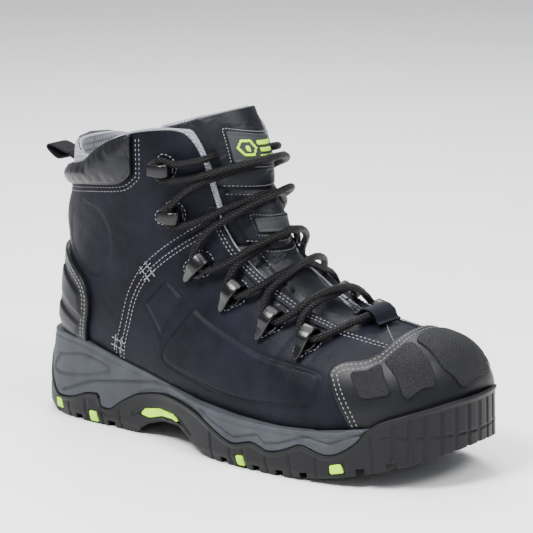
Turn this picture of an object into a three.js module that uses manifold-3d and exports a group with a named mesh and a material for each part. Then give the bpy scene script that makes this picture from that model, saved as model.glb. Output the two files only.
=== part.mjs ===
// A right-foot safety work boot, EU 42, laced, with a composite toe cap.
// Millimetres. Toe towards -Y, heel towards +Y, up is +Z, lateral side towards -X.
import * as THREE from 'three';
import { mergeVertices } from 'three/addons/utils/BufferGeometryUtils.js';
import Module from 'manifold-3d';

const wasm = await Module();
wasm.setup();

// ---------------------------------------------------------------- driving dimensions
const GAP = 0.3;                 // clearance between neighbouring pieces
const LEATHER = 2.0;             // upper leather
const PADDING = 1.5;             // layer between leather and lining
const LINING = 2.0;              // mesh lining
const OVERLAY = 1.8;             // moulded guards stitched on top of the leather
const COLLAR_PAD = 4.4;          // cushion of the collar, cover included
const INSOLE_THICK = 5.0;        // removable footbed
const BOARD_THICK = 2.0;         // insole board
const PLATE_THICK = 1.3;         // penetration plate under it, and the shank under that
const LACE_R = 2.2;              // radius of the round bootlace
const RINGS = 28;                // cross sections of the upper
const RING_POINTS = 24;          // points round each cross section
const CENTRE_X = -2.75;          // middle of the bounding box in the working frame
const CENTRE_Y = 5.15;

// Lines of the upper from the toe tip to above the collar. Each section runs from a front
// point to a back or bottom point of the centre line. y and z of both, half widths on the
// lateral and medial side, centre x, place of the widest point, roundness front and back.
const SECTIONS = [
  [-141.5, 46, -141.5, 44, 0.6, 0.6, 9, 0.5, 2, 2],
  [-140, 57, -140, 33, 17, 16, 9, 0.55, 2, 2.2],
  [-134.5, 67.5, -135, 26, 28.5, 26, 8, 0.6, 2.1, 2.6],
  [-124, 75.7, -125, 20, 38.5, 34.5, 6, 0.65, 2.2, 3],
  [-107, 79, -106, 18, 46.5, 41.5, 4, 0.68, 2.2, 3.3],
  [-83, 83.3, -78, 18, 52, 47, 1, 0.72, 2.1, 3.5],
  [-61, 88.7, -48, 18, 54.5, 48.5, 0, 0.74, 2, 3.5],
  [-43.5, 98.5, -14, 19, 52.5, 45, 0, 0.74, 2, 3.3],
  [-30, 112, 28, 19.5, 47, 40, 0, 0.72, 2, 3],
  [-21.5, 124, 70, 25.5, 42.5, 38.5, 0, 0.66, 2, 2.8],
  [-17.5, 137, 112, 34, 41, 38.5, 0, 0.6, 2, 2.8],
  [-12, 147.5, 138, 49, 40.5, 39, 0, 0.56, 2, 2.6],
  [-9.5, 156, 138.5, 72, 40.5, 39, 0, 0.55, 2, 2.4],
  [-8.5, 163.5, 137, 98, 40.5, 39.5, 0, 0.54, 2, 2.2],
  [-6, 171, 138.3, 120, 41, 40, 0, 0.53, 2, 2.2],
  [-3, 178, 134, 138, 41.5, 40.5, 0, 0.53, 2, 2.2],
  [0.5, 186, 133, 152, 42, 41, 0, 0.53, 2, 2.2],
  [6, 195, 131, 170, 42, 41, 0, 0.53, 2, 2.2],
  [13, 208, 129, 190, 41, 40, 0, 0.53, 2, 2.2],
];

// Plan outline of the sole, x and y, from the heel round the lateral side.
const SOLE_PLAN = [
  [0, 151], [-16, 147.5], [-28, 137.5], [-35, 121.5], [-38, 102], [-38.5, 78], [-41, 50],
  [-48, 24], [-55.5, -5], [-58.5, -34], [-57.5, -67], [-53.5, -94], [-44, -119], [-29, -137],
  [-8, -147], [12, -147.5], [30, -140.5], [42, -125], [49.5, -101], [53, -75], [51.5, -45],
  [45, -15], [37.5, 14], [34, 44], [34.5, 76], [36, 101], [34, 122], [27.5, 138], [16, 148],
];

// Side-view lines, y and z.
const TREAD_LINE = [
  [160, 3], [146, 1], [138, 0], [69, 0], [62, 3], [54, 8], [41, 12.5], [26, 13.5], [14, 7.5],
  [4, 2.5], [-8, 0], [-56, 0], [-80, 3], [-100, 7], [-120, 12], [-135, 17], [-160, 30],
];
const OUTSOLE_TOP = [
  [170, 47], [151, 47], [141, 30], [134, 19], [127, 13], [118, 13], [103, 18], [94, 19], [91, 12],
  [86, 11.5], [75, 18], [63, 24], [52, 27], [30, 29], [6, 24.5], [-11, 17], [-22, 14], [-35, 17],
  [-44, 14], [-53, 15], [-69, 21], [-82, 17.5], [-91, 19], [-107, 34], [-114, 39], [-124, 43],
  [-137, 47.5], [-170, 52],
];
const MIDSOLE_TOP = [
  [170, 50], [151, 50], [128, 50], [106, 50], [79, 43.5], [48, 37.5], [12, 31.5], [-21, 29],
  [-53, 28.5], [-78, 30], [-107, 34.3],
];
const LASTING_LINE = [[160, 46], [115, 39], [72, 33], [28, 27], [-50, 23.5], [-160, 25]];
const COLLAR_LINE = [
  [160, 150.5], [138, 150.5], [131, 152], [122, 154], [114, 155.7], [101, 159], [93, 165.2],
  [83, 171.7], [73, 176.7], [61, 180.5], [45, 183], [33, 183.5],
];
const RIM_LINE = [
  [160, 169.5], [130, 169], [122, 166], [112, 161.5], [104, 161], [93, 166.2],
  [83, 172.7], [73, 177.5], [61, 181.2], [45, 183.6], [33, 184],
];
const THROAT_LATERAL = [
  [33, 183.5], [28, 181], [22, 172], [18, 162], [15, 150], [12, 139], [9, 131], [-2, 117],
  [-16, 106], [-36, 95], [-52, 87], [-71, 81],
];
const THROAT_MEDIAL = [
  [28, 183.5], [20, 181], [14, 176.5], [11, 168], [9, 158], [9, 139], [7, 131], [-2, 117],
  [-16, 106], [-36, 95], [-52, 87], [-71, 81],
];
const FLANK_SEAM = [[11, 133], [26, 124], [43, 112], [57, 99], [66, 84], [71, 66], [80, 30]];
const TOE_GUARD_EDGE = [[-104, 100], [-104, 77], [-83, 66], [-79, 61], [-88, 48], [-97, 25]];
const HEEL_GUARD_EDGE = [
  [160, 104], [134, 103], [115, 95], [102, 87], [98.5, 79], [99, 70], [102, 58], [107, 46],
];
const COLLAR_PAD_EDGE = [[62, 200], [62, 158], [66, 151.5], [73, 148.5], [160, 142]];

// Lace hardware: place of each loop on the side view, y and z, and the side it is measured on.
const HOOK_PLACES = [[42, 162], [37, 135]];
const LOOP_PLACES = [[18, 108], [-6, 94], [-34, 83], [-58, 75]];

// ---------------------------------------------------------------- small helpers
const lerp = (a, b, f) => a + (b - a) * f;

function catmull(p0, p1, p2, p3, f) {
  return p1.map((v, k) => 0.5 * (2 * v + (p2[k] - p0[k]) * f
    + (2 * p0[k] - 5 * v + 4 * p2[k] - p3[k]) * f * f
    + (3 * v - p0[k] - 3 * p2[k] + p3[k]) * f * f * f));
}

function heightOn(line, y) {
  const pts = [...line].sort((a, b) => a[0] - b[0]);
  if (y <= pts[0][0]) return pts[0][1];
  for (let i = 1; i < pts.length; i += 1) {
    if (y <= pts[i][0]) {
      const f = (y - pts[i - 1][0]) / (pts[i][0] - pts[i - 1][0]);
      return lerp(pts[i - 1][1], pts[i][1], f);
    }
  }
  return pts[pts.length - 1][1];
}

// ---------------------------------------------------------------- manifold booleans
function solid(geometry) {
  const g = geometry.clone();
  for (const name of Object.keys(g.attributes)) if (name !== 'position') g.deleteAttribute(name);
  const merged = mergeVertices(g, 1e-4);
  const index = merged.index ?? new THREE.BufferAttribute(
    Uint32Array.from({ length: merged.attributes.position.count }, (_, i) => i), 1);
  return new wasm.Manifold(new wasm.Mesh({
    numProp: 3,
    vertProperties: Float32Array.from(merged.attributes.position.array),
    triVerts: Uint32Array.from(index.array),
  }));
}

function largest(manifold) {
  return manifold.decompose().reduce((a, b) => (a.volume() > b.volume() ? a : b));
}

function geometryOf(manifold) {
  const mesh = largest(manifold).getMesh();
  const g = new THREE.BufferGeometry();
  g.setAttribute('position', new THREE.BufferAttribute(Float32Array.from(mesh.vertProperties), 3));
  g.setIndex(new THREE.BufferAttribute(Uint32Array.from(mesh.triVerts), 1));
  return g;
}

// ---------------------------------------------------------------- prisms
const SIDE_TO_WORLD = new THREE.Matrix4().set(
  0, 0, 1, 0,
  1, 0, 0, 0,
  0, 1, 0, 0,
  0, 0, 0, 1);

function sidePrism(points, x0, x1) {
  const shape = new THREE.Shape(points.map(([y, z]) => new THREE.Vector2(y, z)));
  const g = new THREE.ExtrudeGeometry(shape, { depth: x1 - x0, bevelEnabled: false });
  g.translate(0, 0, x0);
  g.applyMatrix4(SIDE_TO_WORLD);
  return solid(g);
}

function box(x0, x1, y0, y1, z0, z1) {
  const g = new THREE.BoxGeometry(x1 - x0, y1 - y0, z1 - z0);
  g.translate((x0 + x1) / 2, (y0 + y1) / 2, (z0 + z1) / 2);
  return solid(g);
}

// the side-view region under a line, or between two lines, as a prism across the boot
function under(line, lift = 0, x0 = -90, x1 = 90) {
  const pts = line.map(([y, z]) => [y, z + lift]);
  return sidePrism([...pts, [pts.at(-1)[0], -30], [pts[0][0], -30]], x0, x1);
}

// ---------------------------------------------------------------- the upper's surface
function sectionAt(t) {
  const n = SECTIONS.length - 1;
  const i = Math.min(Math.max(Math.floor(t), 0), n - 1);
  const p1 = SECTIONS[i];
  const p2 = SECTIONS[i + 1];
  const p0 = i > 0 ? SECTIONS[i - 1] : p1.map((v, k) => 2 * v - p2[k]);
  const p3 = i + 2 <= n ? SECTIONS[i + 2] : p2.map((v, k) => 2 * v - p1[k]);
  return catmull(p0, p1, p2, p3, t - i);
}

// one cross section as points: front centre, down the lateral side, back along the medial side
function ringAt(t, count) {
  const [fy, fz, by, bz, wl, wm, xc, wide, nf, nb] = sectionAt(t);
  const fine = count * 8;
  const half = (sign) => {
    const pts = [];
    for (let i = 0; i <= fine; i += 1) {
      const a = (Math.PI * i) / fine;
      const c = Math.cos(a);
      const e = 2 / (c > 0 ? nf : nb);
      const r = c > 0 ? wide * (1 - c ** e) : wide + (1 - wide) * Math.abs(c) ** e;
      const x = xc + sign * (sign < 0 ? wl : wm) * Math.sin(a) ** e;
      pts.push([x, lerp(fy, by, r), lerp(fz, bz, r)]);
    }
    return pts;
  };
  const spread = (pts) => {
    const d = [0];
    for (let i = 1; i < pts.length; i += 1) {
      d.push(d[i - 1] + Math.hypot(...pts[i].map((v, k) => v - pts[i - 1][k])));
    }
    const out = [];
    let j = 1;
    for (let i = 0; i < count / 2; i += 1) {
      const target = (d.at(-1) * i) / (count / 2);
      while (d[j] < target) j += 1;
      const f = (target - d[j - 1]) / (d[j] - d[j - 1] || 1);
      out.push(pts[j].map((v, k) => lerp(pts[j - 1][k], v, f)));
    }
    return out;
  };
  const lateral = spread(half(-1));
  const medial = spread(half(1).reverse());
  return [...lateral, ...medial];
}

// denser sections at the round toe, even ones elsewhere
function sectionSteps() {
  const last = SECTIONS.length - 1;
  const steps = [0.35, 0.7];
  for (let i = 0; i < RINGS - 2; i += 1) steps.push(lerp(1, last, i / (RINGS - 3)));
  return steps;
}

const skinGrid = sectionSteps().map((t) => ringAt(t, RING_POINTS));
const skinTip = [9, SECTIONS[0][0], 45];

// closed skin over the sections, from the toe tip to a cap above the collar
function closedSkin(rings, tip, crown) {
  const n = RING_POINTS;
  const flat = [tip, ...rings.flat(), crown];
  const index = [];
  const at = (j, i) => 1 + j * n + ((i + n) % n);
  for (let i = 0; i < n; i += 1) {
    index.push(0, at(0, i), at(0, i + 1));
    for (let j = 0; j < rings.length - 1; j += 1) {
      index.push(at(j, i), at(j + 1, i + 1), at(j, i + 1));
      index.push(at(j, i), at(j + 1, i), at(j + 1, i + 1));
    }
    index.push(flat.length - 1, at(rings.length - 1, i + 1), at(rings.length - 1, i));
  }
  const g = new THREE.BufferGeometry();
  g.setAttribute('position', new THREE.Float32BufferAttribute(flat.flat(), 3));
  g.setIndex(index);
  return g;
}

const CROWN = [0, 70, 200];
const baseSkin = closedSkin(skinGrid, skinTip, CROWN);
baseSkin.computeVertexNormals();
const baseNormals = baseSkin.attributes.normal;

// the upper's volume with its surface moved out by `offset`
function lastVolume(offset) {
  const crownLift = offset < -0.01 ? 12 : 0;
  const moved = (p, k) => [
    p[0] + baseNormals.getX(k) * offset,
    p[1] + baseNormals.getY(k) * offset,
    p[2] + baseNormals.getZ(k) * offset,
  ];
  const rings = skinGrid.map((ring, j) => ring.map((p, i) => moved(p, 1 + j * RING_POINTS + i)));
  const top = rings.at(-1);
  rings[rings.length - 1] = top.map((p) => [p[0], p[1] + crownLift * 0.1, p[2] + crownLift]);
  return solid(closedSkin(rings, moved(skinTip, 0), [CROWN[0], CROWN[1], CROWN[2] + crownLift + 6]));
}

const volumes = new Map();
function volume(offset) {
  const key = offset.toFixed(2);
  if (!volumes.has(key)) volumes.set(key, lastVolume(offset));
  return volumes.get(key);
}

function layer(outer, inner) {
  return volume(outer).subtract(volume(inner));
}

// a point on the upper, `offset` out from it; s runs -1..1 from the back round the lateral
// side over the front centre (0) and round the medial side
function onUpper(t, s, offset = 0) {
  const count = 80;
  const a = ringAt(t, count);
  const b = ringAt(t + 0.05, count);
  const u = ((-s + 2) % 2) * (count / 2);
  const i = Math.floor(u) % count;
  const f = u - Math.floor(u);
  const pick = (r, k) => new THREE.Vector3(...r[(k + count) % count]);
  const p = pick(a, i).lerp(pick(a, i + 1), f);
  const q = pick(b, i).lerp(pick(b, i + 1), f);
  const along = q.sub(p);
  const round = pick(a, i + 1).sub(pick(a, i));
  const normal = along.cross(round).normalize();
  return p.addScaledVector(normal, offset);
}

// section and side fraction of the surface point at a given y and z
function locate(side, y, z) {
  let best = [0, 0, 1e9];
  const scan = (t0, t1, s0, s1, n) => {
    for (let i = 0; i <= n; i += 1) {
      for (let j = 0; j <= n; j += 1) {
        const t = lerp(t0, t1, i / n);
        const s = lerp(s0, s1, j / n);
        const p = onUpper(t, side * s);
        const d = Math.hypot(p.y - y, p.z - z);
        if (d < best[2]) best = [t, s, d];
      }
    }
  };
  scan(3, 17, 0.02, 0.75, 18);
  for (let w = 0.6; w > 0.02; w *= 0.4) {
    const [t, s] = best;
    scan(t - w, t + w, Math.max(s - w * 0.06, 0.01), s + w * 0.06, 6);
  }
  return { t: best[0], s: side * best[1] };
}

// ---------------------------------------------------------------- sole plan
function planOutline() {
  const n = SOLE_PLAN.length;
  const pts = [];
  for (let i = 0; i < n; i += 1) {
    const at = (k) => SOLE_PLAN[(i + k + n) % n];
    for (let k = 0; k < 2; k += 1) pts.push(catmull(at(-1), at(0), at(1), at(2), k / 2));
  }
  return pts;
}

// inward lean of the side wall at height z: the foot of the wall is chamfered, the heel leans in
function wallInset(y, z) {
  const heel = THREE.MathUtils.smoothstep(y, 60, 150);
  const foot = Math.max(0, 6 - z) * 0.35;
  return foot + Math.max(0, z - 14) * lerp(0.03, 0.11, heel);
}

function soleWall(outset, zLevels = [-6, 0, 6, 14, 34, 60]) {
  const loop = planOutline();
  const loops = zLevels.map((z) => {
    return loop.map((p, i) => {
      const a = loop[(i + loop.length - 1) % loop.length];
      const b = loop[(i + 1) % loop.length];
      const t = new THREE.Vector2(b[0] - a[0], b[1] - a[1]).normalize();
      const inset = wallInset(p[1], z) - outset;
      return [p[0] - t.y * inset, p[1] + t.x * inset, z];
    });
  });
  const n = loops[0].length;
  const index = [];
  const at = (j, i) => j * n + (i % n);
  for (let j = 0; j < loops.length - 1; j += 1) {
    for (let i = 0; i < n; i += 1) {
      index.push(at(j, i), at(j, i + 1), at(j + 1, i + 1));
      index.push(at(j, i), at(j + 1, i + 1), at(j + 1, i));
    }
  }
  const outline = loops[0].map(([x, y]) => new THREE.Vector2(x, y));
  const faces = THREE.ShapeUtils.triangulateShape(outline, []);
  const top = (loops.length - 1) * n;
  for (const [a, b, c] of faces) {
    index.push(a, c, b);
    index.push(top + a, top + b, top + c);
  }
  const g = new THREE.BufferGeometry();
  g.setAttribute('position', new THREE.Float32BufferAttribute(loops.flat(2), 3));
  g.setIndex(index);
  return solid(g);
}

// ---------------------------------------------------------------- materials
function paint(color, roughness, metalness = 0) {
  return new THREE.MeshStandardMaterial({ color, roughness, metalness });
}
const LOOKS = {
  leather: paint(0x303136, 0.62),
  collar: paint(0x2a2b30, 0.45),
  mesh: paint(0x8c8e98, 0.9),
  foam: paint(0x55565c, 0.95),
  guard: paint(0x2a2b2e, 0.6),
  rubber: paint(0x232427, 0.7),
  midsole: paint(0x686c73, 0.7),
  lime: paint(0xc8f04a, 0.5),
  plastic: paint(0x121214, 0.25),
  lace: paint(0x17171a, 0.8),
  board: paint(0x6b6558, 0.9),
  composite: paint(0x3a4a3e, 0.5),
  patch: paint(0x5b5d61, 0.6),
  webbing: paint(0x26272a, 0.85),
};

const boot = new THREE.Group();
boot.name = 'work_boot';
boot.position.set(-CENTRE_X, -CENTRE_Y, 0);

function add(name, shape, look) {
  const g = shape instanceof wasm.Manifold ? geometryOf(shape) : shape;
  const mesh = new THREE.Mesh(g, LOOKS[look]);
  mesh.name = name;
  boot.add(mesh);
}

// ---------------------------------------------------------------- lace hardware
const hardware = [];
for (const side of [-1, 1]) {
  for (const [y, z] of HOOK_PLACES) hardware.push({ hook: true, side, ...locate(side, y, z) });
  for (const [y, z] of LOOP_PLACES) hardware.push({ hook: false, side, ...locate(side, y, z) });
}

// local frame of a fitting: x across towards the throat, y along the throat edge, z outwards
function fittingFrame({ t, s, side }) {
  const origin = onUpper(t, s);
  const up = onUpper(t, s, 1).sub(origin).normalize();
  const along = onUpper(t + 0.2, s).sub(onUpper(t - 0.2, s));
  along.addScaledVector(up, -along.dot(up)).normalize();
  const across = new THREE.Vector3().crossVectors(along, up).normalize();
  const towardsThroat = -side;
  if (across.x * towardsThroat < 0) across.negate();
  return { origin, up, along, across };
}

function placeFitting(geometry, frame) {
  const { origin, up, across } = frame;
  const along = new THREE.Vector3().crossVectors(up, across);
  geometry.applyMatrix4(new THREE.Matrix4().makeBasis(across, along, up).setPosition(origin));
  return geometry;
}

for (const item of hardware) item.frame = fittingFrame(item);

// Profiles of the fittings: first number across towards the throat, second outwards. Their feet
// start inside the leather and are cut to its curve, one gap above the eyestay.
const FITTING_SEAT = 1.5 + GAP;
const ARCH_HALF = 5.2;
const ARCH_RISE = 7.4;
const ARCH_WALL = 2.2;
function archShape(half, rise, wall) {
  const shape = new THREE.Shape();
  shape.moveTo(-half - wall, -1);
  shape.absellipse(0, 0, half + wall, rise + wall, Math.PI, 0, true);
  shape.lineTo(half + wall, -1);
  shape.lineTo(half, -1);
  shape.absellipse(0, 0, half, rise, 0, Math.PI, false);
  shape.lineTo(-half, -1);
  shape.closePath();
  return shape;
}

// a speed hook: foot, post on the throat side and a lip that curls over the lace
function hookShape() {
  const shape = new THREE.Shape();
  shape.moveTo(-7, -1);
  shape.lineTo(6.6, -1);
  shape.lineTo(6.6, 7);
  shape.quadraticCurveTo(6.4, 11, 2.6, 11);
  shape.lineTo(-6, 9.8);
  shape.lineTo(-6, 8.4);
  shape.lineTo(2.2, 9.2);
  shape.quadraticCurveTo(4.4, 9, 4.5, 6.6);
  shape.lineTo(4.5, 3.5);
  shape.lineTo(-7, 3.2);
  shape.closePath();
  return shape;
}

function extrudeAlong(shape, length) {
  const g = new THREE.ExtrudeGeometry(shape, { depth: length, bevelEnabled: false, curveSegments: 6 });
  g.translate(0, 0, -length / 2);
  g.rotateX(Math.PI / 2);
  return g;
}

function seated(geometry, frame, seat) {
  return solid(placeFitting(geometry, frame)).subtract(volume(seat));
}

// keeper strap at the foot of the throat, over the lowest run of the lace
const KEEPER_AT = [-79, 83];
const KEEPER_WIDTH = 22;
const keeperT = locate(-1, ...KEEPER_AT).t;
const keeperOrigin = onUpper(keeperT, 0);
const keeperUp = onUpper(keeperT, 0, 1).sub(keeperOrigin).normalize();
const keeperFrame = {
  origin: keeperOrigin,
  up: keeperUp,
  across: new THREE.Vector3(0, keeperUp.z, -keeperUp.y).normalize(),
};

// ---------------------------------------------------------------- bootlace
// one lace, from the top hook of one side down to the keeper and back up the other side
const LACE_IN_LOOP = 4.6;
const LACE_IN_HOOK = 6.1;
const LACE_UNDER = -0.9;
const LACE_OVER = 4.1;
const LACE_CLEAR = 5.4;           // over the leather and the eyestay
const fittingOf = (side, number) => hardware.filter((h) => h.side === side)[number - 1];

// the lace's way into, through and out of a fitting, from its upper end to its lower end
function throughFitting(item) {
  const { origin, up, along } = item.frame;
  const half = item.hook ? 5 : 4.5;
  const height = item.hook ? LACE_IN_HOOK : LACE_IN_LOOP;
  const upwards = along.clone().multiplyScalar(Math.sign(along.z));
  return [half, 0, -half].map((d) => origin.clone()
    .addScaledVector(up, height).addScaledVector(upwards, d));
}

// height of the lace over the upper at a place on it: clear of the leather, then down on the
// tongue once it is past the throat's edge
function laceHeight(t, s, onTongue) {
  const p = onUpper(t, s);
  const edge = s < 0 ? THROAT_LATERAL : THROAT_MEDIAL;
  const byHeight = edge.map(([y, z]) => [z, y]);
  const inside = heightOn(byHeight, p.z) - p.y;
  return lerp(LACE_CLEAR, onTongue, THREE.MathUtils.smoothstep(inside, 1.5, 12));
}

// over the tongue, from below one fitting to above the next one on the other side
function crossing(from, to, onTongue) {
  const mmPerSection = onUpper(from.t, from.s).distanceTo(onUpper(from.t - 0.2, from.s)) / 0.2;
  const step = 9 / mmPerSection;
  return [0.1, 0.28, 0.5, 0.72, 0.9].map((f) => {
    const t = lerp(from.t - step, to.t + step, f);
    const s = lerp(from.s, to.s, f);
    return onUpper(t, s, laceHeight(t, s, onTongue));
  });
}

// the loose end: back from the top hook and down beside the throat's edge
function laceEnd(side) {
  const hook = fittingOf(side, 1);
  const edge = side < 0 ? [20, 168] : [11.5, 168];
  const { t, s } = locate(side, ...edge);
  return [
    onUpper(t, lerp(s, 0, 0.17), LACE_UNDER - 2.8),
    onUpper(t, lerp(s, 0, 0.1), 1.5),
    onUpper(t, lerp(s, hook.s, 0.12), LACE_CLEAR - 0.6),
    onUpper(t + 0.15, lerp(s, hook.s, 0.6), LACE_CLEAR),
  ];
}

function laceLeg(startSide, height) {
  const points = laceEnd(startSide);
  for (let number = 1; number <= 6; number += 1) {
    const side = number % 2 ? startSide : -startSide;
    const item = fittingOf(side, number);
    points.push(...throughFitting(item));
    if (number < 6) points.push(...crossing(item, fittingOf(-side, number + 1), height));
  }
  return points;
}

class RouteCurve extends THREE.CatmullRomCurve3 {
  getPointAt(u, target) {
    return this.getPoint(u, target);
  }

  getTangentAt(u, target) {
    return this.getTangent(u, target);
  }
}

function bootlace(radius) {
  const down = laceLeg(-1, LACE_OVER);
  const up = laceLeg(1, LACE_UNDER).reverse();
  const middle = onUpper(keeperT, 0, 3);
  const underKeeper = [11, 0, -11].map((x) => middle.clone().setX(middle.x + x));
  const points = [...down, ...underKeeper, ...up];
  const curve = new RouteCurve(points, false, 'centripetal');
  const section = new THREE.Shape();
  section.absarc(0, 0, radius, 0, Math.PI * 2, false);
  return new THREE.ExtrudeGeometry(section, {
    steps: points.length - 1,
    extrudePath: curve,
    curveSegments: 4,
  });
}
add('bootlace', bootlace(LACE_R), 'lace');

// a piece under the lace, with room for it
const laceRoom = solid(bootlace(LACE_R + GAP));
function clearOfLace(shape) {
  return shape.subtract(laceRoom);
}

// ---------------------------------------------------------------- loops, hooks and keeper
const HOOK_LENGTH = 8;
const LOOP_LENGTH = 8.5;
const sideName = (side) => (side < 0 ? 'lateral' : 'medial');
const counters = { '-1': 0, 1: 0 };
for (const item of hardware) {
  counters[item.side] += 1;
  const shape = item.hook ? hookShape() : archShape(ARCH_HALF, ARCH_RISE, ARCH_WALL);
  const kind = item.hook ? 'hook' : 'loop';
  add(`lace_${kind}_${sideName(item.side)}_${counters[item.side]}`,
    clearOfLace(seated(extrudeAlong(shape, item.hook ? HOOK_LENGTH : LOOP_LENGTH), item.frame,
      FITTING_SEAT)), 'plastic');
}

add('lace_keeper', clearOfLace(
  seated(extrudeAlong(archShape(5, 5.4, 1.5), KEEPER_WIDTH), keeperFrame, GAP)), 'leather');

// ---------------------------------------------------------------- regions of the upper
const lateralHalf = box(-100, -GAP / 2, -200, 200, -10, 260);
const medialHalf = box(GAP / 2, 100, -200, 200, -10, 260);
const HALVES = { lateral: lateralHalf, medial: medialHalf };

const belowCollar = sidePrism([...COLLAR_LINE, [-160, 183.5], [-160, 0], [160, 0]], -90, 90);
const belowRim = sidePrism([...RIM_LINE, [-160, 184], [-160, 0], [160, 0]], -90, 90);
const aboveLasting = sidePrism([...LASTING_LINE, [-160, 240], [160, 240]], -90, 90);

function throatOpening(line, x0, x1) {
  return sidePrism([...line, [-72, 90], [-72, 230], [60, 230], [40, 190]], x0, x1);
}
const throat = throatOpening(THROAT_LATERAL, -90, 0).add(throatOpening(THROAT_MEDIAL, 0, 90));
const upperRegion = belowCollar.intersect(aboveLasting).subtract(throat);
const liningRegion = belowRim.intersect(aboveLasting).subtract(throat);

const behindSeam = sidePrism([...FLANK_SEAM, [160, 0], [160, 240], [-30, 240], [5, 140]], -90, 90);
const frontSeam = FLANK_SEAM.map(([y, z]) => [y - GAP, z - GAP]);
const aheadOfSeam = sidePrism([...frontSeam, [-200, 0], [-200, 240], [-30, 240], [4, 140]], -90, 90);
const VAMP_START = -103;
const vampTongue = box(-17, 11, VAMP_START - 2, -71, 60, 100);
const aheadOfVamp = box(-90, 90, -200, VAMP_START, -10, 120);
const vampRegion = aheadOfVamp.add(vampTongue);
const vampCut = box(-90, 90, -200, VAMP_START + GAP, -10, 120)
  .add(box(-17 - GAP, 11 + GAP, VAMP_START - 2, -70, 60, 100));

// ---------------------------------------------------------------- upper leather
const leather = layer(0, -LEATHER).intersect(upperRegion);
for (const side of ['lateral', 'medial']) {
  add(`quarter_${side}`,
    clearOfLace(leather.intersect(HALVES[side]).intersect(aheadOfSeam).subtract(vampCut)), 'leather');
  add(`shaft_panel_${side}`, leather.intersect(HALVES[side]).intersect(behindSeam), 'leather');
}
add('vamp', leather.intersect(vampRegion), 'leather');

// ---------------------------------------------------------------- middle layer
const middleOuter = -LEATHER - GAP;
const middleInner = middleOuter - PADDING;
const middle = layer(middleOuter, middleInner).intersect(liningRegion);
const heelZone = sidePrism([[160, 92], [98, 84], [84, 60], [84, 0], [160, 0]], -90, 90);
const ankleZone = sidePrism([[160, 93], [98, 85], [82, 70], [30, 105], [24, 150], [40, 200], [160, 200]],
  -90, 90);
const TOE_CAP_BACK = -90;
const TOE_CAP_THICK = 3.4;
add('heel_stiffener', middle.intersect(heelZone), 'board');
add('ankle_padding', middle.intersect(ankleZone), 'foam');
const toeZone = box(-90, 90, -200, TOE_CAP_BACK, -10, 120);
add('safety_toe_cap', layer(middleOuter, middleOuter - TOE_CAP_THICK)
  .intersect(aboveLasting).intersect(toeZone), 'composite');

// ---------------------------------------------------------------- lining
const liningOuter = middleInner - GAP;
const liningInner = liningOuter - LINING;
add('lining', layer(liningOuter, liningInner).intersect(liningRegion)
  .subtract(box(-90, 90, -200, TOE_CAP_BACK + GAP, -10, 120)), 'mesh');
const toeLiningOuter = middleOuter - TOE_CAP_THICK - GAP;
add('toe_lining', layer(toeLiningOuter, toeLiningOuter - 1.2).intersect(aboveLasting)
  .intersect(toeZone), 'mesh');

// ---------------------------------------------------------------- bottom stack inside the upper
function plate(offset, top, bottom, cut) {
  const slab = under(LASTING_LINE, top).subtract(under(LASTING_LINE, bottom));
  const p = volume(offset).intersect(slab);
  return cut ? p.intersect(cut) : p;
}
const boardTop = -GAP;
const plateTop = boardTop - BOARD_THICK - GAP;
const shankTop = plateTop - PLATE_THICK - GAP;
add('insole_board', plate(-1, boardTop, boardTop - BOARD_THICK), 'board');
add('penetration_plate', plate(-1.2, plateTop, plateTop - PLATE_THICK, box(-90, 90, -132, 128, -10, 90)),
  'composite');
add('shank', plate(-0.4, shankTop, shankTop - PLATE_THICK, box(-11, 9, -8, 82, -10, 90)), 'composite');
const insoleTop = INSOLE_THICK + GAP;
add('insole', plate(liningInner - 1.4, insoleTop, GAP, box(-90, 90, -126, 200, -10, 120)), 'foam');

// ---------------------------------------------------------------- sole unit
const guardReach = box(-90, 90, -200, -74, -10, 120);
const soleCavity = volume(GAP).add(volume(OVERLAY + 2 * GAP + 0.2).intersect(guardReach));
const treadBand = under(OUTSOLE_TOP).subtract(under(TREAD_LINE));

function grooveAt(y, width, depth) {
  const z = heightOn(TREAD_LINE, y);
  return box(-90, 90, y - width / 2, y + width / 2, z - 12, z + depth);
}
const HEEL_GROOVES = [84, 110, 138];
const FOREFOOT_GROOVES = [-14, -38, -54, -70, -104, -120];
const grooves = [
  ...HEEL_GROOVES.map((y) => grooveAt(y, 5, 4)),
  ...FOREFOOT_GROOVES.map((y) => grooveAt(y, 4.5, 4)),
  box(-3, 3, -132, -2, -10, 5),
];

// lime blocks let into the side wall: y range and z range on both sides
const LIME_BLOCKS = {
  heel_rear: [[124.5, 4], [131, 4], [131.5, 10], [126, 10.5]],
  heel_front: [[94, 1.5], [100.5, 1.5], [100.5, 8], [95, 8]],
  arch: [[22, 14.5], [31, 16.2], [41, 15.6], [52, 12.2], [60, 13], [56, 17], [44, 19.5], [31, 19]],
  ball_rear: [[-30, 1.8], [-24.5, 1.8], [-24, 7.5], [-29, 8]],
  ball_front: [[-95, 8.8], [-87, 7], [-86.5, 12], [-93, 13.8]],
};
const wallOuter = soleWall(-0.2);
const wallInner = soleWall(-4);
const pocketOuter = soleWall(2);
const pocketInner = soleWall(-4 - GAP);
let pockets = null;
function widened(points, by) {
  const n = points.length;
  return points.map((p, i) => {
    const a = points[(i + n - 1) % n];
    const b = points[(i + 1) % n];
    const d1 = new THREE.Vector2(p[0] - a[0], p[1] - a[1]).normalize();
    const d2 = new THREE.Vector2(b[0] - p[0], b[1] - p[1]).normalize();
    const n1 = new THREE.Vector2(d1.y, -d1.x);
    const n2 = new THREE.Vector2(d2.y, -d2.x);
    const miter = n1.clone().add(n2).normalize();
    return [p[0] + (miter.x * by) / miter.dot(n1), p[1] + (miter.y * by) / miter.dot(n1)];
  });
}
const limePieces = [];
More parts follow.
